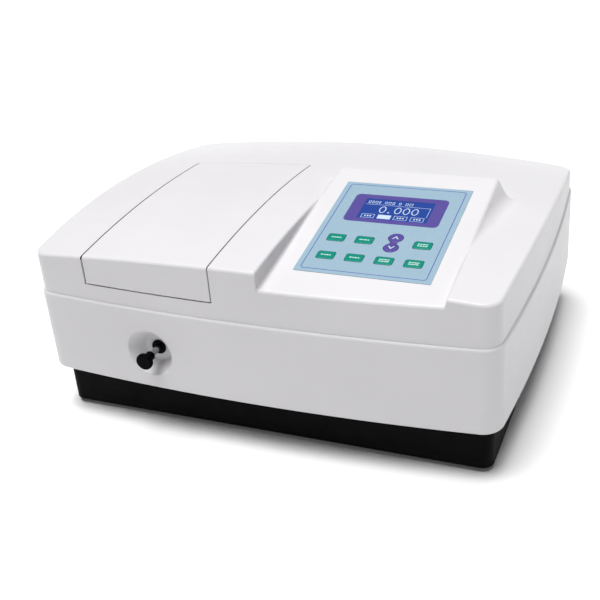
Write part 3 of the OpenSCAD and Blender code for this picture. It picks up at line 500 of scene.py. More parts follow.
def ease(points, normals, toward, reach, radius):
    """Rounds an edge: points nearer to it than radius sink, and their normals turn toward it."""
    q = np.clip(1 - reach / radius, 0, 1)
    keep = np.sqrt(1 - q ** 2)
    sunk = points - normals * (radius * (1 - keep))[:, None]
    return sunk, unit(normals * keep[:, None] + toward * q[:, None])


def toward_opening(points, on_wall):
    """Direction and distance from points of the cover to the lid's opening."""
    x = points[:, 0]
    near, within = points.copy(), 0.001
    near[:, 0] = np.clip(x, OPEN_X[0] + within, OPEN_X[1] - within)
    if on_wall:
        near[:, 2] = np.maximum(points[:, 2], OPEN_Z + within)
    else:
        near[:, 1] = np.minimum(points[:, 1], open_y(x) - within)
    way = near - points
    at_front = points[:, 1] < HINGE_Y if on_wall else True
    return unit(way), np.where(at_front, np.linalg.norm(way, axis=1), FAR)


def console_fronts():
    """Places across the front where the recess's walls come down, from fine to coarse."""
    offsets = np.concatenate((-np.array((9, 5, 3, 2, 1.3, 0.8, 0.4)), np.arange(0, 3.4, 0.2),
                              (3.8, 4.4, 5.2, 6.5, 9)))
    half = PANEL_HALF_FRONT + 0.1
    return np.concatenate((PANEL[0] - half - offsets, PANEL[0] + half + offsets))


def cover_columns():
    extra = list(front_s(console_fronts(), RING_INSET))
    extra += list(NOTCH_S[0] - EDGE_STEPS) + list(NOTCH_S[1] + EDGE_STEPS)
    return plan_columns(extra)


def cover_wall(cols):
    """The cover's wall, rounded over into its top, with the notch for the lid's flap."""
    ring, _ = plan(cols, RING_INSET)
    top_z = cover_z(ring[:, 0], ring[:, 1])
    top_n = cover_normal(ring[:, 0], ring[:, 1], top_z)
    foot = top_z - COVER_R
    turn = COVER_R * np.arange(0, 9) / 8 * math.pi / 2
    full = (cols <= NOTCH_S[0] + TOUCH) | (cols >= NOTCH_S[1] - TOUCH)
    low_rows = np.concatenate((SEAM_Z + np.array((0, 0.6, 2, 5, 9)), np.sort(OPEN_Z - EDGE_STEPS[:-1])))
    up = np.array((0.12, 0.3, 0.55, 0.8, 0.93, 1))
    loop = [(s, SEAM_Z) for s in cols]
    side = [(1 - f) * SEAM_Z + f * foot[-1] for f in (0.25, 0.5, 0.75)] + list(foot[-1] + turn[:-1])
    high = foot + turn[-1]
    loop += [(cols[-1], h) for h in side]
    loop += [(s, h) for s, h in zip(cols[::-1], high[::-1]) if s >= NOTCH_S[1] - TOUCH]
    notch = [np.argmin(np.abs(cols - s)) for s in NOTCH_S]
    edge_rows = []
    for k in notch:
        edge_rows.append(np.concatenate(([OPEN_Z], OPEN_Z + (foot[k] - OPEN_Z) * up, foot[k] + turn[1:])))
    loop += [(NOTCH_S[1], h) for h in edge_rows[1][-2:0:-1]]
    loop += [(s, OPEN_Z) for s in cols[::-1] if NOTCH_S[0] - TOUCH <= s <= NOTCH_S[1] + TOUCH]
    loop += [(NOTCH_S[0], h) for h in edge_rows[0][1:-1]]
    loop += [(s, h) for s, h in zip(cols[::-1], high[::-1]) if s <= NOTCH_S[0] + TOUCH]
    loop += [(cols[0], h) for h in side[::-1]]
    loop = np.array(loop)
    spread = [(s, h) for s in cols[1:-1] for h in low_rows[1:]]
    spread += [(s, h) for s, f, ok in zip(cols[1:-1], foot[1:-1], full[1:-1]) if ok
               for h in np.concatenate((OPEN_Z + (f - OPEN_Z) * up, f + turn[1:-1]))]
    spread = np.array(spread)
    spread = spread[inside(spread, loop)]
    spread = spread[loop_distance(spread, loop) > SEWN]
    uv, tris = fill([loop], spread)
    s, h = uv[:, 0], uv[:, 1]
    foot_z = np.interp(s, cols, foot)
    angle = np.clip((h - foot_z) / COVER_R, 0, math.pi / 2)
    xy, out = plan(s, COVER_INSET + COVER_R * (1 - np.cos(angle)))
    z = np.where(angle > 0, foot_z + COVER_R * np.sin(angle), h)
    points = np.column_stack((xy, z))
    lift = np.column_stack([np.interp(s, cols, top_n[:, k]) for k in range(3)])
    out3 = np.column_stack((out, np.zeros(len(out))))
    normals = unit(out3 * np.cos(angle)[:, None] + lift * np.sin(angle)[:, None])
    way, reach = toward_opening(points, True)
    return ease(points, normals, way, reach, EDGE_R) + (tris,)


def console_lattice():
    """Points over the top in plan, close together over the console's walls."""
    fine = np.concatenate(((-13, -8, -5, -3.4, -2.4, -1.8, -1.3, -0.9, -0.6, -0.3), np.arange(0, 2.7, 0.2),
                           np.arange(3.1, 9, 0.55), np.arange(9.6, 17, 1.2), (19, 23)))
    back_y = PANEL[1] + PANEL_BACK * math.cos(PANEL_TILT)
    rows_near = back_y + np.concatenate(((-6, -3.4, -2.4, -1.8, -1.2, -0.8, -0.4), np.arange(0, 4, 0.3),
                                         np.arange(4.2, 10, 0.7), (11, 13, 16)))
    step, edge_step, lead, trail = 11, 9, 2, 7
    inward, outward = lead - fine[0], lead + fine[-1]
    rows = np.concatenate((np.arange(-CASE_D / 2, back_y - 8, SPARSE), rows_near,
                           np.arange(back_y + 22, CASE_D / 2, step)))
    lattice = []
    for y in rows:
        v = (y - PANEL[1]) / math.cos(PANEL_TILT)
        half = PANEL_HALF - min(v, PANEL_BACK) * math.tan(PANEL_TAPER)
        left, right = PANEL[0] - half, PANEL[0] + half
        xs = np.concatenate((np.arange(-CASE_W / 2, left - outward, step), left - fine,
                             np.arange(left + (trail - fine[0]), right - inward, step), right + fine,
                             np.arange(right + (trail + fine[-1]), CASE_W / 2, edge_step)))
        lattice += [(x, y) for x in xs]
    return np.array(lattice)


LCD_V = 31.2
LCD_HOLE, KEY_HOLE = about(0, LCD_V, 37.2, 20.2), about(0, -31, 53, 28)


def box_loop(x0, x1, y0, y1, count=None):
    """A rectangle, anticlockwise, its sides split into a count of steps or into short ones."""
    corners, loop = np.array(((x0, y0), (x1, y0), (x1, y1), (x0, y1))), []
    for a, b in zip(corners, np.roll(corners, -1, axis=0)):
        n = count or max(1, math.ceil(np.linalg.norm(b - a) / COLUMN_STEP))
        loop += [a + (b - a) * i / n for i in range(n)]
    return np.array(loop)


def cover_top(cols):
    """The cover's top inside its rounded edge, around the lid's opening and the console's cut-outs."""
    right, left = cols[cols >= NOTCH_S[1] - TOUCH], cols[cols <= NOTCH_S[0] + TOUCH]
    order = np.concatenate((right[:-1], left))
    ring, _ = plan(order, RING_INSET)
    along_y = [np.concatenate((np.linspace(front_y(x, RING_INSET), y1 - 6, 26), y1 - EDGE_STEPS[-2:0:-1]))
               for x, y1 in zip(OPEN_X, OPEN_TAIL)]
    along_x = np.concatenate((OPEN_X[0] + EDGE_STEPS[1:], np.linspace(*OPEN_X, 14)[1:-1],
                              OPEN_X[1] - EDGE_STEPS[:0:-1]))
    edge = [(OPEN_X[0], y) for y in along_y[0][1:]] + [(OPEN_X[0], OPEN_TAIL[0])]
    edge += [(x, open_y(x)) for x in along_x]
    edge += [(OPEN_X[1], OPEN_TAIL[1])] + [(OPEN_X[1], y) for y in along_y[1][:0:-1]]
    loop = np.vstack((ring, edge))
    holes = [from_panel(*box_loop(*ends, 8).T, 0)[:, :2] for ends in (LCD_HOLE, KEY_HOLE)]
    beside = [(OPEN_X[0] - d, y) for d in EDGE_STEPS[1:] for y in along_y[0][1:]]
    beside += [(OPEN_X[1] + d, y) for d in EDGE_STEPS[1:] for y in along_y[1][1:]]
    behind_x = np.concatenate((OPEN_X[0] - EDGE_STEPS[::-1], along_x, OPEN_X[1] + EDGE_STEPS))
    beside += [(x, open_y(x) + d) for d in EDGE_STEPS for x in behind_x]
    rings = np.vstack([plan(order, RING_INSET + d)[0] for d in RIM_ROWS])
    room = EDGE_STEPS[-1] + 0.5
    clear = (rings[:, 0] < OPEN_X[0] - room) | (rings[:, 0] > OPEN_X[1] + room)
    clear |= rings[:, 1] > OPEN_TAIL.max() + room
    lattice = console_lattice()
    lattice = lattice[inside(lattice, loop)]
    far = loop_distance(lattice, loop) > SPARSE
    for hole in holes:
        far &= ~inside(lattice, hole) & (loop_distance(lattice, hole) > CLEAR)
    beside = np.array(beside)
    beside = beside[inside(beside, loop)]
    beside = beside[loop_distance(beside, ring[:-1]) > 0.05]
    beside = beside[loop_distance(beside, loop) > SEWN]
    spread = np.vstack((rings[clear], beside, lattice[far]))
    uv, tris = fill([loop] + holes, spread)
    z = cover_z(uv[:, 0], uv[:, 1])
    points = np.column_stack((uv, z))
    normals = cover_normal(uv[:, 0], uv[:, 1], z)
    way, reach = toward_opening(points, False)
    return ease(points, normals, way, reach, EDGE_R) + (tris,)


def wall_strip(path, across, low, high):
    """A thin upright wall along a path, from one height to another at each point, closed all round."""
    n = len(path)
    low, high = np.broadcast_to(low, (n,)), np.broadcast_to(high, (n,))
    rings = [np.column_stack((path, low)), np.column_stack((path + across, low)),
             np.column_stack((path + across, high)), np.column_stack((path, high))]
    points = np.vstack(rings)
    faces = [(k * n + i, ((k + 1) % 4) * n + i, ((k + 1) % 4) * n + i + 1, k * n + i + 1)
             for k in range(4) for i in range(n - 1)]
    faces += [(0, 3 * n, 2 * n, n), (n - 1, 2 * n - 1, 3 * n - 1, 4 * n - 1)]
    corner = []
    for f in faces:
        a, b, c, d = points[list(f)]
        corner += [unit(np.cross(c - a, d - b))] * 4
    return points, faces, corner


def merge(parts):
    """Several (points, faces, corner normals) as one."""
    points, faces, corner, base = [], [], [], 0
    for p, f, c in parts:
        points.append(p)
        faces += [tuple(int(i) + base for i in face) for face in f]
        corner += list(c)
        base += len(p)
    return np.vstack(points), faces, corner


def collar():
    """The cover's light-tight collar down to the sample chamber, around the lid's opening."""
    drop, reach, back = 1.6, 0.06, COLLAR_BACK
    parts = []
    for x, way in ((OPEN_X[0] - reach, -1), (OPEN_X[1] + reach, 1)):
        ys = np.linspace(front_y(x, COVER_INSET + 1), back + WALL, 30)
        path = np.column_stack((x + 0 * ys, ys))
        top = cover_z(path[:, 0], ys) - drop
        top[ys < front_y(x, RING_INSET + 1)] -= COVER_R
        part = wall_strip(path, (way * WALL, 0), COLLAR_Z, top)
        parts.append(part if way < 0 else flipped(part))
    xs = np.linspace(OPEN_X[0] - 1, OPEN_X[1] + 1, 16)
    path = np.column_stack((xs, back + 0 * xs))
    parts.append(wall_strip(path, (0, WALL), COLLAR_Z, crown_z(xs, back) - drop))
    ledge = np.column_stack((xs, front_y(xs, COVER_INSET + 1)))
    deep = np.column_stack((0 * xs, COLLAR_FRONT - ledge[:, 1]))
    parts.append(wall_strip(ledge, deep, COLLAR_Z, OPEN_Z - 0.1))
    return merge(parts)


def flipped(part):
    """The same part with its faces and corner normals turned over."""
    points, faces, corner = part
    turned, at = [], 0
    for f in faces:
        turned += [-np.asarray(c) for c in corner[at:at + len(f)][::-1]]
        at += len(f)
    return points, [tuple(f[::-1]) for f in faces], turned


def oriented(points, normals, tris):
    """The triangles, all turned to face the way that the normals do."""
    a, b, c = points[tris.T]
    facing = (np.cross(b - a, c - a) * normals[tris[:, 0]]).sum()
    return tris if facing > 0 else tris[:, ::-1]


def lathe(profile, origin, axis, around=48):
    """A closed turned solid; its profile is (radius, place) from one end of the axis to the other."""
    profile, axis = np.asarray(profile, float), unit(np.asarray(axis, float))
    tangent = np.gradient(profile, axis=0)
    n2 = unit(np.stack((tangent[:, 1], -tangent[:, 0]), -1))
    n2[0], n2[-1] = (0, -1), (0, 1)
    side = unit(np.cross(axis, UP if abs(axis[2]) < 0.9 else (1.0, 0, 0)))
    other = np.cross(axis, side)
    turn = np.arange(around) * 2 * math.pi / around
    spoke = np.cos(turn)[:, None] * side + np.sin(turn)[:, None] * other
    points = np.asarray(origin) + profile[:, None, :1] * spoke + profile[:, None, 1:] * axis
    normals = n2[:, None, :1] * spoke + n2[:, None, 1:] * axis
    points, normals = points.reshape(-1, 3), normals.reshape(-1, 3)
    tris = grid_faces(len(profile), around, True)
    a, b, c = points[tris.T]
    tris = tris[np.linalg.norm(np.cross(b - a, c - a), axis=1) > 1e-9]
    to = np.arange(len(points))
    to[:around] = 0
    to[-around:] = len(points) - around
    tris = oriented(points, normals, to[tris])
    return points, [tuple(t) for t in tris], smooth_corners(tris, normals)


def lid_skin():
    """The lid's outer face: flap, rounded front edge and crown, every edge eased."""
    xs = np.concatenate((LID_LEFT + EDGE_STEPS, np.linspace(LID_LEFT + 14, LID_RIGHT - 14, 10),
                         LID_RIGHT - EDGE_STEPS[::-1]))
    ring_y = front_y(xs, RING_INSET)
    ring_z = cover_z(xs, ring_y)
    lift = cover_normal(xs, ring_y, ring_z)
    foot = ring_z - COVER_R
    grid, base, depth = [], [], []
    out = np.column_stack((xs, front_y(xs) - FRONT_C[1], 0 * xs)) / FRONT_RAD
    heights = [LID_FLAP_Z + d + 0 * xs for d in EDGE_STEPS]
    heights += [LID_FLAP_Z + (foot - LID_FLAP_Z) * f for f in (0.4, 0.6, 0.78, 0.9, 0.97)]
    for z in heights:
        grid.append(np.column_stack((xs, front_y(xs, COVER_INSET), z)))
        base.append(out)
        depth.append(z - LID_FLAP_Z)
    for a in np.linspace(0, math.pi / 2, 9):
        y = front_y(xs, COVER_INSET + COVER_R * (1 - math.cos(a)))
        grid.append(np.column_stack((xs, y, foot + COVER_R * math.sin(a))))
        base.append(unit(out * math.cos(a) + lift * math.sin(a)))
        depth.append(0 * xs + FAR)
    tail = tail_y(xs, LID_TAIL_R)
    front_rows = len(grid)
    ys = [ring_y + d for d in RIM_ROWS]
    ys += [ring_y + (tail - ring_y) * f for f in np.linspace(0.06, 0.95, 24)]
    ys += [tail - d for d in EDGE_STEPS[:-1][::-1]]
    for y in ys:
        z = cover_z(xs, y)
        grid.append(np.column_stack((xs, y, z)))
        base.append(cover_normal(xs, y, z))
        depth.append(y - tail)
    grid, base, depth = np.array(grid), np.array(base), np.array(depth)
    beside = np.minimum(xs - LID_LEFT, LID_RIGHT - xs) + 0 * depth
    ex = np.clip(1 - beside / EDGE_R, 0, 1)
    et = np.clip(1 - np.abs(depth) / EDGE_R, 0, 1)
    q = np.minimum(np.hypot(ex, et), 1)
    way = np.zeros_like(grid)
    way[..., 0] = ex * np.sign(xs - LID_MID)
    way[..., 2] = -et * (depth >= 0)
    way[front_rows:, :, 1] = (et * (depth <= 0))[front_rows:]
    keep = np.sqrt(1 - q ** 2)[..., None]
    points = grid - base * EDGE_R * (1 - keep)
    normals = unit(base * keep + unit(way) * q[..., None])
    inner = grid - base * WALL
    rear = inner[-1]
    rear[:, 1] = HINGE_Y + np.sqrt(LID_TAIL_R ** 2 - (rear[:, 2] - hinge_at(xs)) ** 2)
    inner[..., 0] = np.clip(inner[..., 0], LID_LEFT + 0.05, LID_RIGHT - 0.05)
    inner[0][:, 2] = LID_FLAP_Z + 0.02
    rows, cols = grid.shape[:2]
    points, normals = points.reshape(-1, 3), normals.reshape(-1, 3)
    tris = oriented(points, normals, grid_faces(rows, cols))
    return thick((points, normals, tris), WALL, inner.reshape(-1, 3))


def bar_profile(radius, length, edge):
    """Profile of a round bar with eased ends."""
    half = length / 2
    return rounded(((0, -half), (radius, -half), (radius, half), (0, half)), (edge, edge), 5)


def lid_inside():
    """Ribs and hinge knuckles under the lid."""
    parts, inset, sunk, short = [], 5, 2.2, 8
    for x in (LID_LEFT + inset, LID_MID - RIB_T / 2, LID_RIGHT - inset - RIB_T):
        ys = np.linspace(RIB_FRONT, HINGE_Y - short, 26)
        path = np.column_stack((x + 0 * ys, ys))
        top = crown_z(x, ys)
        parts.append(flipped(wall_strip(path, (RIB_T, 0), top - RIB_H, top - sunk)))
    for spot in HINGE_SPOTS:
        at = np.array((LID_MID, HINGE_Y, HINGE_Z)) + HINGE_AXIS * spot
        parts.append(lathe(bar_profile(KNUCKLE_R, KNUCKLE_W, KNUCKLE_EASE), at, HINGE_AXIS, 32))
        xs = at[0] + np.array((-1, 1)) * KNUCKLE_W / 2
        path = np.column_stack((xs, np.full(2, at[1] - KNUCKLE_R)))
        parts.append(wall_strip(path, (0, 2 * KNUCKLE_R), at[2], crown_z(at[0], at[1]) - 2))
    return merge(parts)


def dish_middle(y):
    """Middle of the recess at a depth: it leans left and up towards its mouth."""
    ahead = DISH_FLOOR_Y - y
    return ROD_X + DISH_LEAN_X * ahead, BEAM_Z + DISH_LEAN_Z * ahead


def dish_patch():
    """The finger recess from the wall's face down to the hole for the rod."""
    around, longest = 72, 2.5
    turn = np.arange(around) * 2 * math.pi / around
    rim_y = np.full(around, float(DISH_MOUTH_Y))
    lip_y = rim_y
    for _ in range(8):
        rim = DISH_FLOOR_R + DISH_SLOPE * (DISH_FLOOR_Y - rim_y)
        lip = rim + DISH_LIP
        rim_y = front_y(dish_middle(rim_y)[0] + rim * np.cos(turn))
        lip_y = front_y(dish_middle(lip_y)[0] + lip * np.cos(turn))
    corners = np.stack([np.stack((lip, lip_y), -1), np.stack((rim, rim_y), -1),
                        np.stack((0 * rim + DISH_FLOOR_R, 0 * rim + DISH_FLOOR_Y), -1),
                        np.stack((0 * rim + ROD_HOLE_R, 0 * rim + DISH_FLOOR_Y), -1)], 1)
    line = rounded(corners, (DISH_RIM_R, DISH_FOOT_R), 8)
    more = [line[:, 0]]
    for k in range(1, line.shape[1]):
        gap = np.linalg.norm(line[:, k] - line[:, k - 1], axis=-1).mean()
        n = max(1, round(gap / longest))
        more += [line[:, k - 1] + (line[:, k] - line[:, k - 1]) * (i + 1) / n for i in range(n)]
    line = np.stack(more, 1)
    radius, y = line[..., 0], line[..., 1]
    middle_x, middle_z = dish_middle(y)
    points = np.stack((middle_x + radius * np.cos(turn)[:, None], y,
                       middle_z + radius * np.sin(turn)[:, None]), -1)
    points = points.transpose(1, 0, 2)
    normals = ring_normals(points)
    if normals[0][:, 1].mean() > 0:
        normals = -normals
    rim_x = points[0][:, 0]
    normals[0] = np.column_stack((rim_x, points[0][:, 1] - FRONT_C[1], 0 * rim_x)) / FRONT_RAD
    rows, cols = points.shape[:2]
    flat, flat_n = points.reshape(-1, 3), unit(normals.reshape(-1, 3))
    return points[0], (flat, flat_n, oriented(flat, flat_n, grid_faces(rows, cols, True)))


def round_loop(width, length, radius, centre=(0, 0), steps=6):
    """A rectangle with round corners, anticlockwise."""
    loop = []
    for k, (sx, sy) in enumerate(((1, 1), (-1, 1), (-1, -1), (1, -1))):
        c = np.array((centre[0] + sx * (width / 2 - radius), centre[1] + sy * (length / 2 - radius)))
        for i in range(steps + 1):
            a = (k + i / steps) * math.pi / 2
            loop.append(c + radius * np.array((math.cos(a), math.sin(a))))
    return np.array(loop)


def shell_wall():
    """The lower shell's wall with its eased top and bottom, the recess and the rear cut-outs."""
    cols = plan_columns()
    top_len = SEAM_R * math.pi / 2
    foot_len = SHELL_FOOT_R * math.pi / 2
    low, high = BASE_H + SHELL_FOOT_R, SEAM_Z - SEAM_R
    rows = np.concatenate((low - foot_len * np.linspace(1, 0, 8), low + np.array((0.6, 2, 5)),
                           np.linspace(low + 12, high - 12, 7), high - np.array((5, 2, 0.6)),
                           high + top_len * np.linspace(0, 1, 8), [high + top_len + SEAM_LIP]))
    loop = np.array([(s, rows[0]) for s in cols] + [(cols[-1], h) for h in rows[1:-1]]
                    + [(s, rows[-1]) for s in cols[::-1]] + [(cols[0], h) for h in rows[-2:0:-1]])
    lip, dish = dish_patch()
    holes = [np.column_stack((front_s(lip[:, 0]), lip[:, 2]))]
    for x0, x1, z0, z1 in BACK_CUTS:
        s0, s1 = sorted((-x % GIRTH for x in (x0, x1)))
        holes.append(box_loop(s0, s1, z0, z1))
    spread = np.array([(s, h) for s in cols[1:-1] for h in rows[1:-1]])
    keep, room, wider = np.ones(len(spread), bool), 1.6, 1.05
    for hole in holes:
        keep &= ~inside(spread, hole) & (loop_distance(spread, hole) > room)
    centre = holes[0].mean(0)
    spread = np.vstack((spread[keep], centre + (holes[0] - centre) * wider))
    uv, tris = fill([loop] + holes, spread)
    s, h = uv.T
    up = np.clip((h - high) / SEAM_R, 0, math.pi / 2)
    down = np.clip((low - h) / SHELL_FOOT_R, 0, math.pi / 2)
    inset = SEAM_R * (1 - np.cos(up)) + SHELL_FOOT_R * (1 - np.cos(down))
    inset = inset + np.maximum(h - high - top_len, 0)
    xy, out = plan(s, inset)
    z = np.clip(h, low, high) + SEAM_R * np.sin(up) - SHELL_FOOT_R * np.sin(down)
    tilt = (up - down)[:, None]
    out3 = np.column_stack((out, 0 * s))
    return [(np.column_stack((xy, z)), out3 * np.cos(tilt) + UP * np.sin(tilt), tris), dish]


def shell_floor():
    """The shell's underside from its wall in to the opening over the base."""
    outer = plan(plan_columns()[:-1], SHELL_FOOT_R)[0]
    inner = round_loop(BASE_OPENING_W, BASE_OPENING_D, BASE_OPENING_R, (0, BASE_OPENING_Y), 5)
    uv, tris = fill([outer, inner])
    points = np.column_stack((uv, np.full(len(uv), BASE_H)))
    return points, np.tile(-UP, (len(uv), 1)), tris[:, ::-1]


# ---- Materials ----

class Look:
    """A node material around one Principled shader, with helpers for its procedural detail."""

    def __init__(self, name):
        self.mat = bpy.data.materials.new(name)
        self.mat.use_nodes = True
        self.tree = self.mat.node_tree
        self.shader = self.tree.nodes["Principled BSDF"]
        self.place = self.tree.nodes.new("ShaderNodeTexCoord").outputs["Object"]

    def node(self, kind, **values):
        node = self.tree.nodes.new(kind)
        for key, value in values.items():
            if key in node.inputs:
                node.inputs[key].default_value = value
            else:
                setattr(node, key, value)
        return node

    def link(self, a, b):
        self.tree.links.new(a, b)

    def set(self, **values):
        for key, value in values.items():
            self.shader.inputs[key.replace("_", " ")].default_value = value
        return self

    def stretched(self, scale):
        """Coordinates stretched by a scale along each axis."""
        spread = self.node("ShaderNodeVectorMath", operation="MULTIPLY")
        self.link(self.place, spread.inputs[0])
        spread.inputs[1].default_value = scale
        return spread.outputs[0]

    def texture(self, kind, place=None, **values):
        """A texture node over the piece's own coordinates."""
        node = self.node(kind, **values)
        self.link(place or self.place, node.inputs["Vector"])
        return node

    def noise(self, scale, detail=4.0, rough=0.55, stretch=None):
        place = self.stretched(stretch) if stretch else None
        values = {"Scale": scale, "Detail": detail, "Roughness": rough}
        return self.texture("ShaderNodeTexNoise", place, **values).outputs["Fac"]

    def between(self, fac, low, high, from_low=0.3, from_high=0.7):
        """A number that runs from low to high as fac does between its own two ends."""
        run = self.node("ShaderNodeMapRange")
        self.link(fac, run.inputs["Value"])
        ends = {"From Min": from_low, "From Max": from_high, "To Min": low, "To Max": high}
        for socket, value in ends.items():
            run.inputs[socket].default_value = value
        return run.outputs["Result"]

    def mix(self, fac, a, b):
        """Colour a turning to b with fac; either may be a colour or another node's output."""
        mix = self.node("ShaderNodeMix", data_type="RGBA")
        self.link(fac, mix.inputs["Factor"])
        for value, socket in ((a, mix.inputs[6]), (b, mix.inputs[7])):
            if isinstance(value, (tuple, list)):
                socket.default_value = (*value[:3], 1)
            else:
                self.link(value, socket)
        return mix.outputs[2]

    def colour(self, output):
        self.link(output, self.shader.inputs["Base Color"])

    def mottled(self, scale, detail, a, b, high=1.0):
        """Colour a, turning in soft patches towards b."""
        return self.mix(self.between(self.noise(scale, detail), 0.0, high), a, b)

    def roughness(self, output):
        self.link(output, self.shader.inputs["Roughness"])

    def gloss(self, scale, detail, low, high):
        """Roughness that wanders between two values."""
        self.roughness(self.between(self.noise(scale, detail), low, high))

    def bump(self, output, depth, strength):
        bump = self.node("ShaderNodeBump", Strength=strength, Distance=depth)
        self.link(output, bump.inputs["Height"])
        self.link(bump.outputs["Normal"], self.shader.inputs["Normal"])

    def edge_wear_and_highlight(self, base, edge, amount):
        """Base colour with a paler or darker edge colour where the surface turns sharply, in speckles:
        partly rubbed wear and partly a painted highlight along the edges.
        """
        sharp = self.node("ShaderNodeNewGeometry").outputs["Pointiness"]
        speckle = self.noise(900.0, 3.0)
        both = self.node("ShaderNodeMath", operation="MULTIPLY")
        self.link(self.between(sharp, 0.0, amount, 0.52, 0.62), both.inputs[0])
        self.link(self.between(speckle, 0.3, 1.0, 0.35, 0.65), both.inputs[1])
        return self.mix(both.outputs[0], base, edge)


def shade(colour, factor):
    return tuple(c * factor for c in colour)


def moulded(name, colour, rough, grain=2600.0, depth=0.00002, coat=0.0, vary=0.04, shine=0.5):
    """Moulded plastic: a fine grain, faint flow marks and slightly uneven gloss."""
    look = Look(name)
    base = look.mottled(9.0, 3.0, colour, shade(colour, 1 - vary))
    # Paler speckled edges: a painted highlight on the white mouldings, rubbed wear on the dark ones.
    look.colour(look.edge_wear_and_highlight(base, tuple(min(1, c * 1.08 + 0.002) for c in colour), 0.5))
    look.gloss(60.0, 5.0, rough * 0.9, rough * 1.12)
    look.bump(look.noise(grain, 2.0, 0.6), depth, 0.35)
    return look.set(Specular_IOR_Level=shine, Coat_Weight=coat, Coat_Roughness=0.12).mat


def metal(name, colour, rough, brushed=(1, 1, 1), scale=400.0, depth=0.00003):
    """Bare metal with brushing along its narrow axis, or a cast or ground skin where even."""
    look = Look(name)
    grain = look.noise(scale, 6.0, 0.65, brushed)
    base = look.mottled(14.0, 4.0, colour, shade(colour, 0.78), 0.6)
    # Pale silver edges: rubbed wear together with a painted glint.
    look.colour(look.edge_wear_and_highlight(base, (0.9, 0.9, 0.92), 0.6))
    look.roughness(look.between(grain, rough * 0.75, rough * 1.3))
    look.bump(grain, depth, 0.5)
    return look.set(Metallic=1.0).mat


def rubber(name, colour, rough=0.8, scale=1500.0):
    """A matt, slightly dusty skin."""
    look = Look(name)
    look.colour(look.mottled(35.0, 5.0, colour, tuple(c * 1.6 + 0.01 for c in colour), 0.5))
    look.gloss(200.0, 4.0, rough * 0.9, min(1.0, rough * 1.1))
    look.bump(look.noise(scale, 3.0), 0.00006, 0.5)
    return look.mat


def glassy(name, colour):
    """Clear glass with a faint smear."""
    look = Look(name)
    look.colour(look.mottled(20.0, 4.0, colour, shade(colour, 0.94)))
    look.gloss(80.0, 6.0, 0.04, 0.1)
    return look.set(Transmission_Weight=0.9, IOR=1.46).mat


def circuit_board(name):
    """Solder resist over copper tracks, with pale pads."""
    look = Look(name)
    cells = look.texture("ShaderNodeTexBrick", look.stretched((1, 1, 0.2)), Scale=110.0)
    for socket, value in (("Color1", 0.0), ("Color2", 0.35), ("Mortar", 1.0)):
        cells.inputs[socket].default_value = (value, value, value, 1)
    tracks = look.mix(cells.outputs["Fac"], (0.02, 0.16, 0.07), (0.035, 0.25, 0.11))
    dots = look.texture("ShaderNodeTexVoronoi", Scale=420.0)
    pads = look.between(dots.outputs["Distance"], 1.0, 0.0, 0.14, 0.2)
    look.colour(look.mix(pads, tracks, (0.55, 0.5, 0.3)))
    look.gloss(300.0, 4.0, 0.28, 0.42)
    look.bump(cells.outputs["Fac"], 0.00004, 0.6)
    return look.mat


def patterned(name, kind, output, scale, a, b, rough, depth, relief, metallic=0.0):
    """Two colours and a relief drawn by one fine texture, such as a foam's cells or a grating's lines."""
    look = Look(name)
    pattern = look.texture(kind, Scale=scale).outputs[output]
    look.colour(look.mix(pattern, a, b))
    look.gloss(*rough)
    look.bump(pattern, depth, relief)
    return look.set(Metallic=metallic).mat


def printed(name, colour, rough):
    """Screen-printed film: even ink over a finely textured sheet."""
    look = Look(name)
    look.colour(look.mottled(500.0, 4.0, colour, shade(colour, 0.93)))
    look.gloss(120.0, 4.0, rough * 0.85, rough * 1.2)
    look.bump(look.noise(1800.0, 2.0), 0.000012, 0.4)
    return look.set(Specular_IOR_Level=0.4).mat


def lit(name, colour, glow):
    """A lit part of the display, with the faint rows of its dots."""
    look = Look(name)
    dots = look.texture("ShaderNodeTexWave", Scale=620.0)
    face = look.mix(look.between(dots.outputs["Fac"], 0.0, 0.18, 0.0, 1.0), colour, shade(colour, 0.6))
    look.colour(face)
    look.link(face, look.shader.inputs["Emission Color"])
    look.gloss(90.0, 4.0, 0.12, 0.168)
    return look.set(Emission_Strength=glow, Specular_IOR_Level=0.3).mat


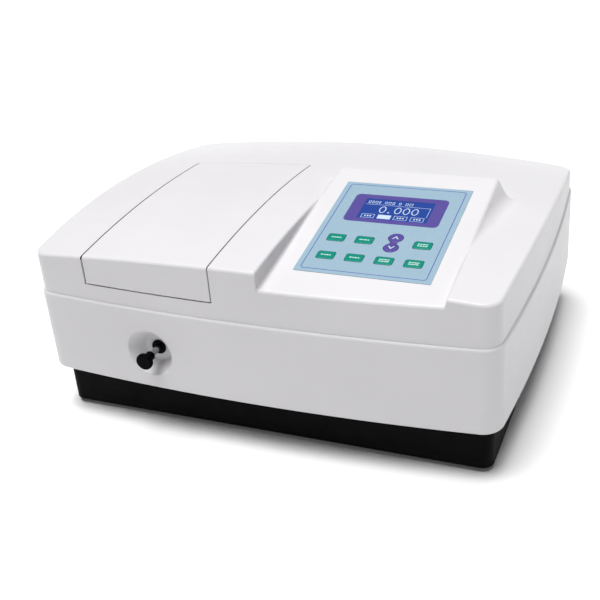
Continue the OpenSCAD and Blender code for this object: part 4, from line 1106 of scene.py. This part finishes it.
WHITE = (0.624, 0.613, 0.63)
MAT = {
    "white_shell": moulded("white_shell_plastic", WHITE, 0.36, coat=0.03, shine=0.22),
    "white_cover": moulded("white_cover_plastic", shade(WHITE, 1.01), 0.36, coat=0.03, shine=0.22),
    "black_plastic": moulded("black_base_plastic", (0.002, 0.0017, 0.0022), 0.6, 1400.0, 0.00004,
                             vary=0.3, shine=0.05),
    "foot_rubber": rubber("foot_rubber", (0.02, 0.02, 0.021)),
    "bright_steel": metal("bright_steel", (0.62, 0.63, 0.65), 0.28, (1, 1, 6)),
    "sheet_steel": metal("zinc_sheet", (0.55, 0.56, 0.58), 0.38, (1, 9, 9), 220.0),
    "cast_metal": metal("cast_alloy", (0.4, 0.41, 0.43), 0.55, (1, 1, 1), 700.0, 0.00012),
    "overlay_film": printed("overlay_film", (0.268, 0.385, 0.475), 0.4),
    "display_pane": lit("display_pane", (0.016, 0.045, 0.215), 0.35),
    "lcd_body": moulded("display_bezel", (0.03, 0.032, 0.036), 0.4, vary=0.1),
    "circuit_board": circuit_board("circuit_board"),
    "green_key_film": printed("green_key_film", (0.003, 0.215, 0.16), 0.3),
    "arrow_key_film": printed("arrow_key_film", (0.085, 0.058, 0.28), 0.3),
    "black_metal": moulded("black_coated_metal", (0.013, 0.013, 0.014), 0.5, 900.0, 0.00006, vary=0.15),
    "foam": patterned("gasket_foam", "ShaderNodeTexVoronoi", "Distance", 900.0, (0.008, 0.008, 0.009),
                      (0.04, 0.04, 0.043), (90.0, 4.0, 0.85, 1.0), 0.0003, 0.8),
    # The rod's steel is darkened to a dark grey: painted shade and dark reflection from inside its recess.
    "polished_rod": metal("polished_rod", (0.24, 0.24, 0.25), 0.2, (1, 9, 1), 600.0, 0.00001),
    "knob_plastic": moulded("knob_plastic", (0.001, 0.001, 0.0012), 0.5, 1500.0, 0.00003,
                            vary=0.2, shine=0.03),
    "optic_glass": glassy("optic_glass", (0.85, 0.93, 0.97)),
    # Blue and pink bands along the rulings: a painted rainbow sheen of the grating.
    "grating_mirror": patterned("grating_mirror", "ShaderNodeTexWave", "Fac", 1800.0, (0.75, 0.82, 0.9),
                                (0.9, 0.82, 0.86), (50.0, 4.0, 0.05, 0.12), 0.00001, 0.4, 1.0),
    "machined_metal": metal("machined_alloy", (0.5, 0.51, 0.53), 0.3, (1, 14, 1), 300.0),
    "brass_nut": metal("brass", (0.62, 0.42, 0.16), 0.3, (1, 8, 1), 300.0),
    "motor_black": moulded("motor_paint", (0.03, 0.031, 0.035), 0.45, 900.0, 0.00005, vary=0.15),
    "mirror_face": metal("coated_mirror", (0.9, 0.9, 0.91), 0.04, (1, 1, 1), 80.0, 0.000002),
    "ceramic": rubber("lamp_ceramic", (0.7, 0.68, 0.63), 0.6, 800.0),
}
VIOLET_INK = printed("violet_ink", (0.08, 0.06, 0.26), 0.36)
LINE_INK = printed("line_ink", (0.05, 0.08, 0.34), 0.36)
PALE_INK = printed("pale_ink", (0.4, 0.6, 0.54), 0.4)
GLYPH = lit("display_glyph", (0.42, 0.5, 0.62), 0.3)


# ---- Casing pieces ----

def casing():
    """The three white mouldings, each in place of its CAD node."""
    cols = cover_columns()
    cover = merge([thick(join([cover_wall(cols), cover_top(cols)]), SKIN), collar()])
    shell = thick(join(shell_wall() + [shell_floor()]), SKIN)
    lid = merge([lid_skin(), lid_inside()])
    pieces = (("cover_moulding", "chassis", cover, "upper_cover", "white_cover"),
              ("shell_moulding", "chassis", shell, "lower_shell", "white_shell"),
              ("lid_moulding", "lid", lid, "sample_lid", "white_cover"))
    for name, body, part, node, slot in pieces:
        piece = make(name, body, *part, [MAT[slot]])
        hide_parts(node)


casing()


# ---- Console pieces ----

PANEL_UP = np.array((0, -math.sin(PANEL_TILT), math.cos(PANEL_TILT)))
OVERLAY_TOP, PANE_TOP = 0.5, 0.4
INK, INK_SUNK = 0.05, 0.1
KEY_W, KEY_L, KEY_R, KEY_TOP, CAP_BOTTOM = 16.6, 11.3, 2, 0.95, -0.6
KEY_EDGE, KEY_CROWN, CROWN_REACH = 0.45, 0.18, 3.2
KEY_INK = (KEY_TOP - 0.12, KEY_TOP + 0.02)
ARROW_R = 6.9
ROW_A, ROW_B = -21.0, -49.4
COLS = (-40.9, -14.0, 13.4, 40.4)
UP_V, DOWN_V = -13.2, -28.9
BORDER_W, BORDER_L, BORDER_R, BORDER_V, BORDER_LINE = 115.5, 143.3, 3.2, 0.3, 0.7
SURROUND_W, SURROUND_L, SURROUND_R = 91.7, 47.3, 5
PANE_HALF_W, PANE_HALF_L = 33.8, 17.3
LINK_WAIST, LINK_FLARE, LINK_REACH = 3.4, 1.1, 1.008


def disc_loop(radius, centre, steps=40, squash=1.0):
    """A circle, or an ellipse narrowed across, anticlockwise."""
    turn = np.arange(steps) * 2 * math.pi / steps
    return np.column_stack((centre[0] + squash * radius * np.cos(turn), centre[1] + radius * np.sin(turn)))


def plate(loops, low, high):
    """A flat plate on the console between two heights above its face."""
    uv, tris = fill(loops)
    top, under = (from_panel(uv[:, 0], uv[:, 1], w) for w in (high, low))
    return thick((top, np.tile(PANEL_UP, (len(uv), 1)), tris), 0, under)


def cushion(loop_at):
    """A key top: upright sides, a rounded edge and a slightly crowned face.

    loop_at gives its outline, set in by a distance."""
    shoulder = KEY_TOP - KEY_CROWN
    insets = [(0, CAP_BOTTOM), (0, shoulder - KEY_EDGE)]
    for a in np.linspace(0.2, 1, 5) * math.pi / 2:
        insets.append((KEY_EDGE * (1 - math.cos(a)), shoulder - KEY_EDGE * (1 - math.sin(a))))
    insets += [(KEY_EDGE + d, KEY_TOP - KEY_CROWN * (1 - d / CROWN_REACH) ** 2) for d in (0.5, 1.2, 2.0)]
    rings = [np.column_stack((loop_at(inset), np.full(len(loop_at(0)), w))) for inset, w in insets]
    n = len(rings[0])
    flat = np.vstack(rings + [[rings[-1].mean(0)]])
    flat[-1, 2] = KEY_TOP
    points = from_panel(*flat.T)
    tris = grid_faces(len(rings), n, True).tolist()
    last, tip = (len(rings) - 1) * n, len(points) - 1
    tris += [(last + i, last + (i + 1) % n, tip) for i in range(n)]
    normals = np.zeros_like(points)
    for a, b, c in tris:
        face = np.cross(points[b] - points[a], points[c] - points[a])
        for i in (a, b, c):
            normals[i] += face
    faces, corner = [tuple(t) for t in tris], smooth_corners(tris, unit(normals))
    faces.append(tuple(range(n - 1, -1, -1)))
    corner += [-PANEL_UP] * n
    return points, faces, corner


def bars(cells, low, high):
    """Small bars (left, right, bottom, top) as one set of plates."""
    return merge([plate([box_loop(*cell, 1)], low, high) for cell in cells])


def marks(u, v, lines):
    """Rows of short generic bars in the middle of a key."""
    widths = ((2.3, 1.5, 2.6, 1.7), (1.6, 2.7, 1.5, 2.2))
    reach, half, between, pitch = 4.7, 0.8, 0.45, 2.7
    cells = []
    for k in range(lines):
        at, middle = u - reach, v + (lines - 1) * pitch / 2 - pitch * k
        for width in widths[k]:
            cells.append((at, at + width, middle - half, middle + half))
            at += width + between
    return cells


def key(name, solid, ink, slot):
    """A key's cap with its ink, riding on the key's own body."""
    which = [0] * len(solid[1]) + [1] * len(ink[1])
    piece = make(name + "_cap", name, *merge([solid, ink]), [MAT[slot], PALE_INK], which)
    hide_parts(name)


def console_keys():
    """Seven green keys with bars on them, and two round arrow keys."""
    lines = {"key_a4": 2, "key_b3": 2, "key_b4": 2}
    places = {"key_a1": (COLS[0], ROW_A), "key_a2": (COLS[1], ROW_A), "key_a4": (COLS[3], ROW_A)}
    places.update({"key_b%d" % (i + 1): (u, ROW_B) for i, u in enumerate(COLS)})
    for name, (u, v) in places.items():
        solid = cushion(lambda d: round_loop(KEY_W - 2 * d, KEY_L - 2 * d, max(KEY_R - d, 0.2), (u, v)))
        key(name, solid, bars(marks(u, v, lines.get(name, 1)), *KEY_INK), "green_key_film")
    for name, v, way in (("key_up", UP_V, 1), ("key_down", DOWN_V, -1)):
        solid = cushion(lambda d: disc_loop(ARROW_R - d, (COLS[2], v)))
        head = np.array(((-3.2, -2.2), (0, 2.6), (3.2, -2.2), (1.9, -2.2), (0, 0.4), (-1.9, -2.2)))[::-1]
        head = (head if way > 0 else (head * (1, -1))[::-1]) + (COLS[2], v)
        key(name, solid, plate([head], *KEY_INK), "arrow_key_film")


def console_print():
    """Ink on the overlay: a border line, the display's surround and the link between the arrow keys."""
    ink = (OVERLAY_TOP - INK_SUNK, OVERLAY_TOP + INK)
    inset = 2 * BORDER_LINE
    border = [round_loop(BORDER_W, BORDER_L, BORDER_R, (0, BORDER_V)),
              round_loop(BORDER_W - inset, BORDER_L - inset, BORDER_R - BORDER_LINE, (0, BORDER_V))[::-1]]
    around = [round_loop(SURROUND_W, SURROUND_L, SURROUND_R, (-0.1, LCD_V + 0.6)),
              box_loop(*about(0, LCD_V, PANE_HALF_W, PANE_HALF_L))[::-1]]
    t = np.linspace(-1, 1, 9)
    side = np.column_stack((LINK_WAIST + LINK_FLARE * t * t, (UP_V + DOWN_V) / 2 + LINK_REACH * t))
    link = [np.vstack((side, (side * (-1, 1))[::-1])) + (COLS[2], 0)]
    prints = (("overlay_border", border, LINE_INK, "overlay_film"),
              ("display_surround", around, VIOLET_INK, "arrow_key_film"),
              ("arrow_link", link, VIOLET_INK, "arrow_key_film"))
    for name, loops, colour, slot in prints:
        make(name, "chassis", *plate(loops, *ink), [colour])


def outline_cells(u0, u1, v0, v1, line=0.45):
    """Four thin bars around a rectangle."""
    return [(u0, u1, v0, v0 + line), (u0, u1, v1 - line, v1), (u0, u0 + line, v0 + line, v1 - line),
            (u1 - line, u1, v0 + line, v1 - line)]


def display():
    """Lit marks on the display: a reading in figures, a row of small marks and four soft-key boxes."""
    ink = (PANE_TOP - 0.05, PANE_TOP + 0.03)
    reading_v, left, low, rule_v, right, rule = 31, -30.5, 23.4, 38.6, 31.5, 0.4
    parts = []
    for u in (-13.0, 1.8, 10.1, 18.4):
        ring = [disc_loop(5.5, (u, reading_v), 32, 0.6), disc_loop(4.55, (u, reading_v), 32, 0.52)[::-1]]
        parts.append(plate(ring, *ink))
    parts.append(plate([disc_loop(0.95, (-6.4, 26.5), 16)], *ink))
    cells = [(-32, right, rule_v, rule_v + rule), (right - rule, right, low, rule_v)]
    marks_v, marks_top, gap, space = 40.9, 44.9, 1.2, 3.0
    at = left
    for width in (2.4, 2.0, 2.4, 1.6, 0, 2.4, 2.4, 2.4, 0, 2.2, 0, 2.6, 3.4):
        if width:
            cells += outline_cells(at, at + width, marks_v, marks_top, 0.5)
        at += width + gap if width else space
    box_w, box_v, box_top, filled = 12.8, 15.6, 22.2, 1
    for k, u0 in enumerate((left, -14.5, 1.2, 17.2)):
        box = (u0, u0 + box_w, box_v, box_top)
        if k == filled:
            cells.append(box)
        else:
            cells += outline_cells(*box)
            cells += [(u0 + 3 + 2.6 * i, u0 + 4.6 + 2.6 * i, 18, 20) for i in range(3)]
    parts.append(bars(cells, *ink))
    make("display_figures", "chassis", *merge(parts), [GLYPH])


console_keys()
console_print()
display()


# ---- Pull knob ----

KNOB_R, KNOB_T, KNOB_L = 8.2, 4.6, 14.3
NECK_R, NECK_FOOT, NECK_BORE = 4.6, 5.6, 3.02


def pull_knob():
    """The turned knob: a disc that necks down to the rod."""
    face_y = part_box("pull_knob")[0][1] / MM - SHIFT_Y
    corners = ((0, 0), (KNOB_R, 0), (KNOB_R, KNOB_T), (NECK_R, NECK_FOOT), (NECK_R, KNOB_L),
               (NECK_BORE, KNOB_L), (0, KNOB_L - 0.1))
    profile = rounded(corners, (1.6, 1.5, 0.6, 1.2, 0.05), 6)
    turned = lathe(profile, (ROD_X, face_y, BEAM_Z), (0, 1.0, 0), 64)
    piece = make("pull_knob_moulding", "cell_changer", *turned, [MAT["knob_plastic"]])
    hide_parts("pull_knob")


pull_knob()


# ---- CAD nodes that stay: materials and eased edges ----

EASE = dict.fromkeys(("power_inlet", "rod_bush", "power_rocker", "fuse_drawer", "lamp_house"), 0.4)
EASE.update(base_tray=1.6, optical_base=0.8, mono_housing=0.8, rubber_feet=0.5, keypad_overlay=0.12)


def finish_node(name, obj):
    """The material that the record names, and rounded edges where the node is listed."""
    slot = next(s["material_slot"] for s in frame["record"]["subparts"] if s["node"] == name)
    for holder in obj.material_slots:
        holder.link = "OBJECT"
        holder.material = MAT[slot]
    if name in EASE:
        weld = obj.modifiers.new("weld", "WELD")
        weld.merge_threshold = 2e-6
        bevel = obj.modifiers.new("eased_edges", "BEVEL")
        bevel.width = EASE[name] * MM
        bevel.segments = 3
        bevel.limit_method = "ANGLE"
        bevel.angle_limit = 35 * DEG
        bevel.harden_normals = True


for node_name, node_obj in frame["nodes"].items():
    finish_node(node_name, node_obj)


# ---- Stage, light and camera ----

FLOOR = 200.0
HAZE_FROM, HAZE_TO, HAZE_GLOW, SKY_GLOW = 0.04, 0.07, 1.0, 0.055
SUN_GLOW, SUN_SPREAD, SUN_FROM = 4.7, 40 * DEG, (-0.09, -0.07, 1.0)
SENSOR, LENS = 36.0, 61.34
EYE, AHEAD, RIGHT = (377.2, -887.3, 570.9), (-0.3673, 0.8022, -0.4706), (0.9231, 0.3763, -0.0790)


def stage():
    """A plain pale floor, wide enough that its far edge is the horizon."""
    corners = [(-FLOOR, -FLOOR, 0), (FLOOR, -FLOOR, 0), (FLOOR, FLOOR, 0), (-FLOOR, FLOOR, 0)]
    mesh = bpy.data.meshes.new("floor")
    mesh.from_pydata(corners, [], [(0, 1, 2, 3)])
    floor = bpy.data.objects.new("floor", mesh)
    bpy.context.scene.collection.objects.link(floor)
    look = Look("pale_floor")
    look.colour(look.mottled(3.0, 4.0, (0.86, 0.86, 0.86), (0.85, 0.85, 0.855)))
    look.set(Roughness=0.9, Specular_IOR_Level=0.1, Emission_Color=(1, 1, 1, 1), Emission_Strength=0.05)
    mesh.materials.append(look.mat)


def studio():
    """A broad overhead light, and a backdrop that is pale only at the horizon."""
    world = bpy.data.worlds.new("studio")
    bpy.context.scene.world = world
    world.use_nodes = True
    nodes, links = world.node_tree.nodes, world.node_tree.links
    back = nodes["Background"]
    back.inputs["Color"].default_value = (1, 1, 1, 1)
    height = nodes.new("ShaderNodeSeparateXYZ")
    links.new(nodes.new("ShaderNodeTexCoord").outputs["Generated"], height.inputs[0])
    haze = nodes.new("ShaderNodeMapRange")
    ends = {"From Min": HAZE_FROM, "From Max": HAZE_TO, "To Min": HAZE_GLOW, "To Max": SKY_GLOW}
    for socket, value in ends.items():
        haze.inputs[socket].default_value = value
    links.new(height.outputs["Z"], haze.inputs["Value"])
    links.new(haze.outputs["Result"], back.inputs["Strength"])
    data = bpy.data.lights.new("overhead", "SUN")
    data.energy, data.angle = SUN_GLOW, SUN_SPREAD
    sun = bpy.data.objects.new("overhead", data)
    sun.rotation_euler = Vector(SUN_FROM).to_track_quat("Z", "Y").to_euler()
    bpy.context.scene.collection.objects.link(sun)
    bpy.context.scene.view_settings.view_transform = "Standard"


def camera():
    """A camera at EYE in the case's frame that looks AHEAD, with RIGHT level across the picture."""
    data = bpy.data.cameras.new("camera")
    data.sensor_width, data.lens = SENSOR, LENS
    ahead = unit(np.array(AHEAD))
    right = unit(np.array(RIGHT) - ahead * (np.array(RIGHT) @ ahead))
    up = np.cross(right, ahead)
    turn = Matrix([(right[k], up[k], -ahead[k]) for k in range(3)]).to_4x4()
    cam = bpy.data.objects.new("camera", data)
    cam.matrix_world = Matrix.Translation(Vector(row(EYE))) @ turn
    bpy.context.scene.collection.objects.link(cam)
    bpy.context.scene.camera = cam


stage()
studio()
camera()
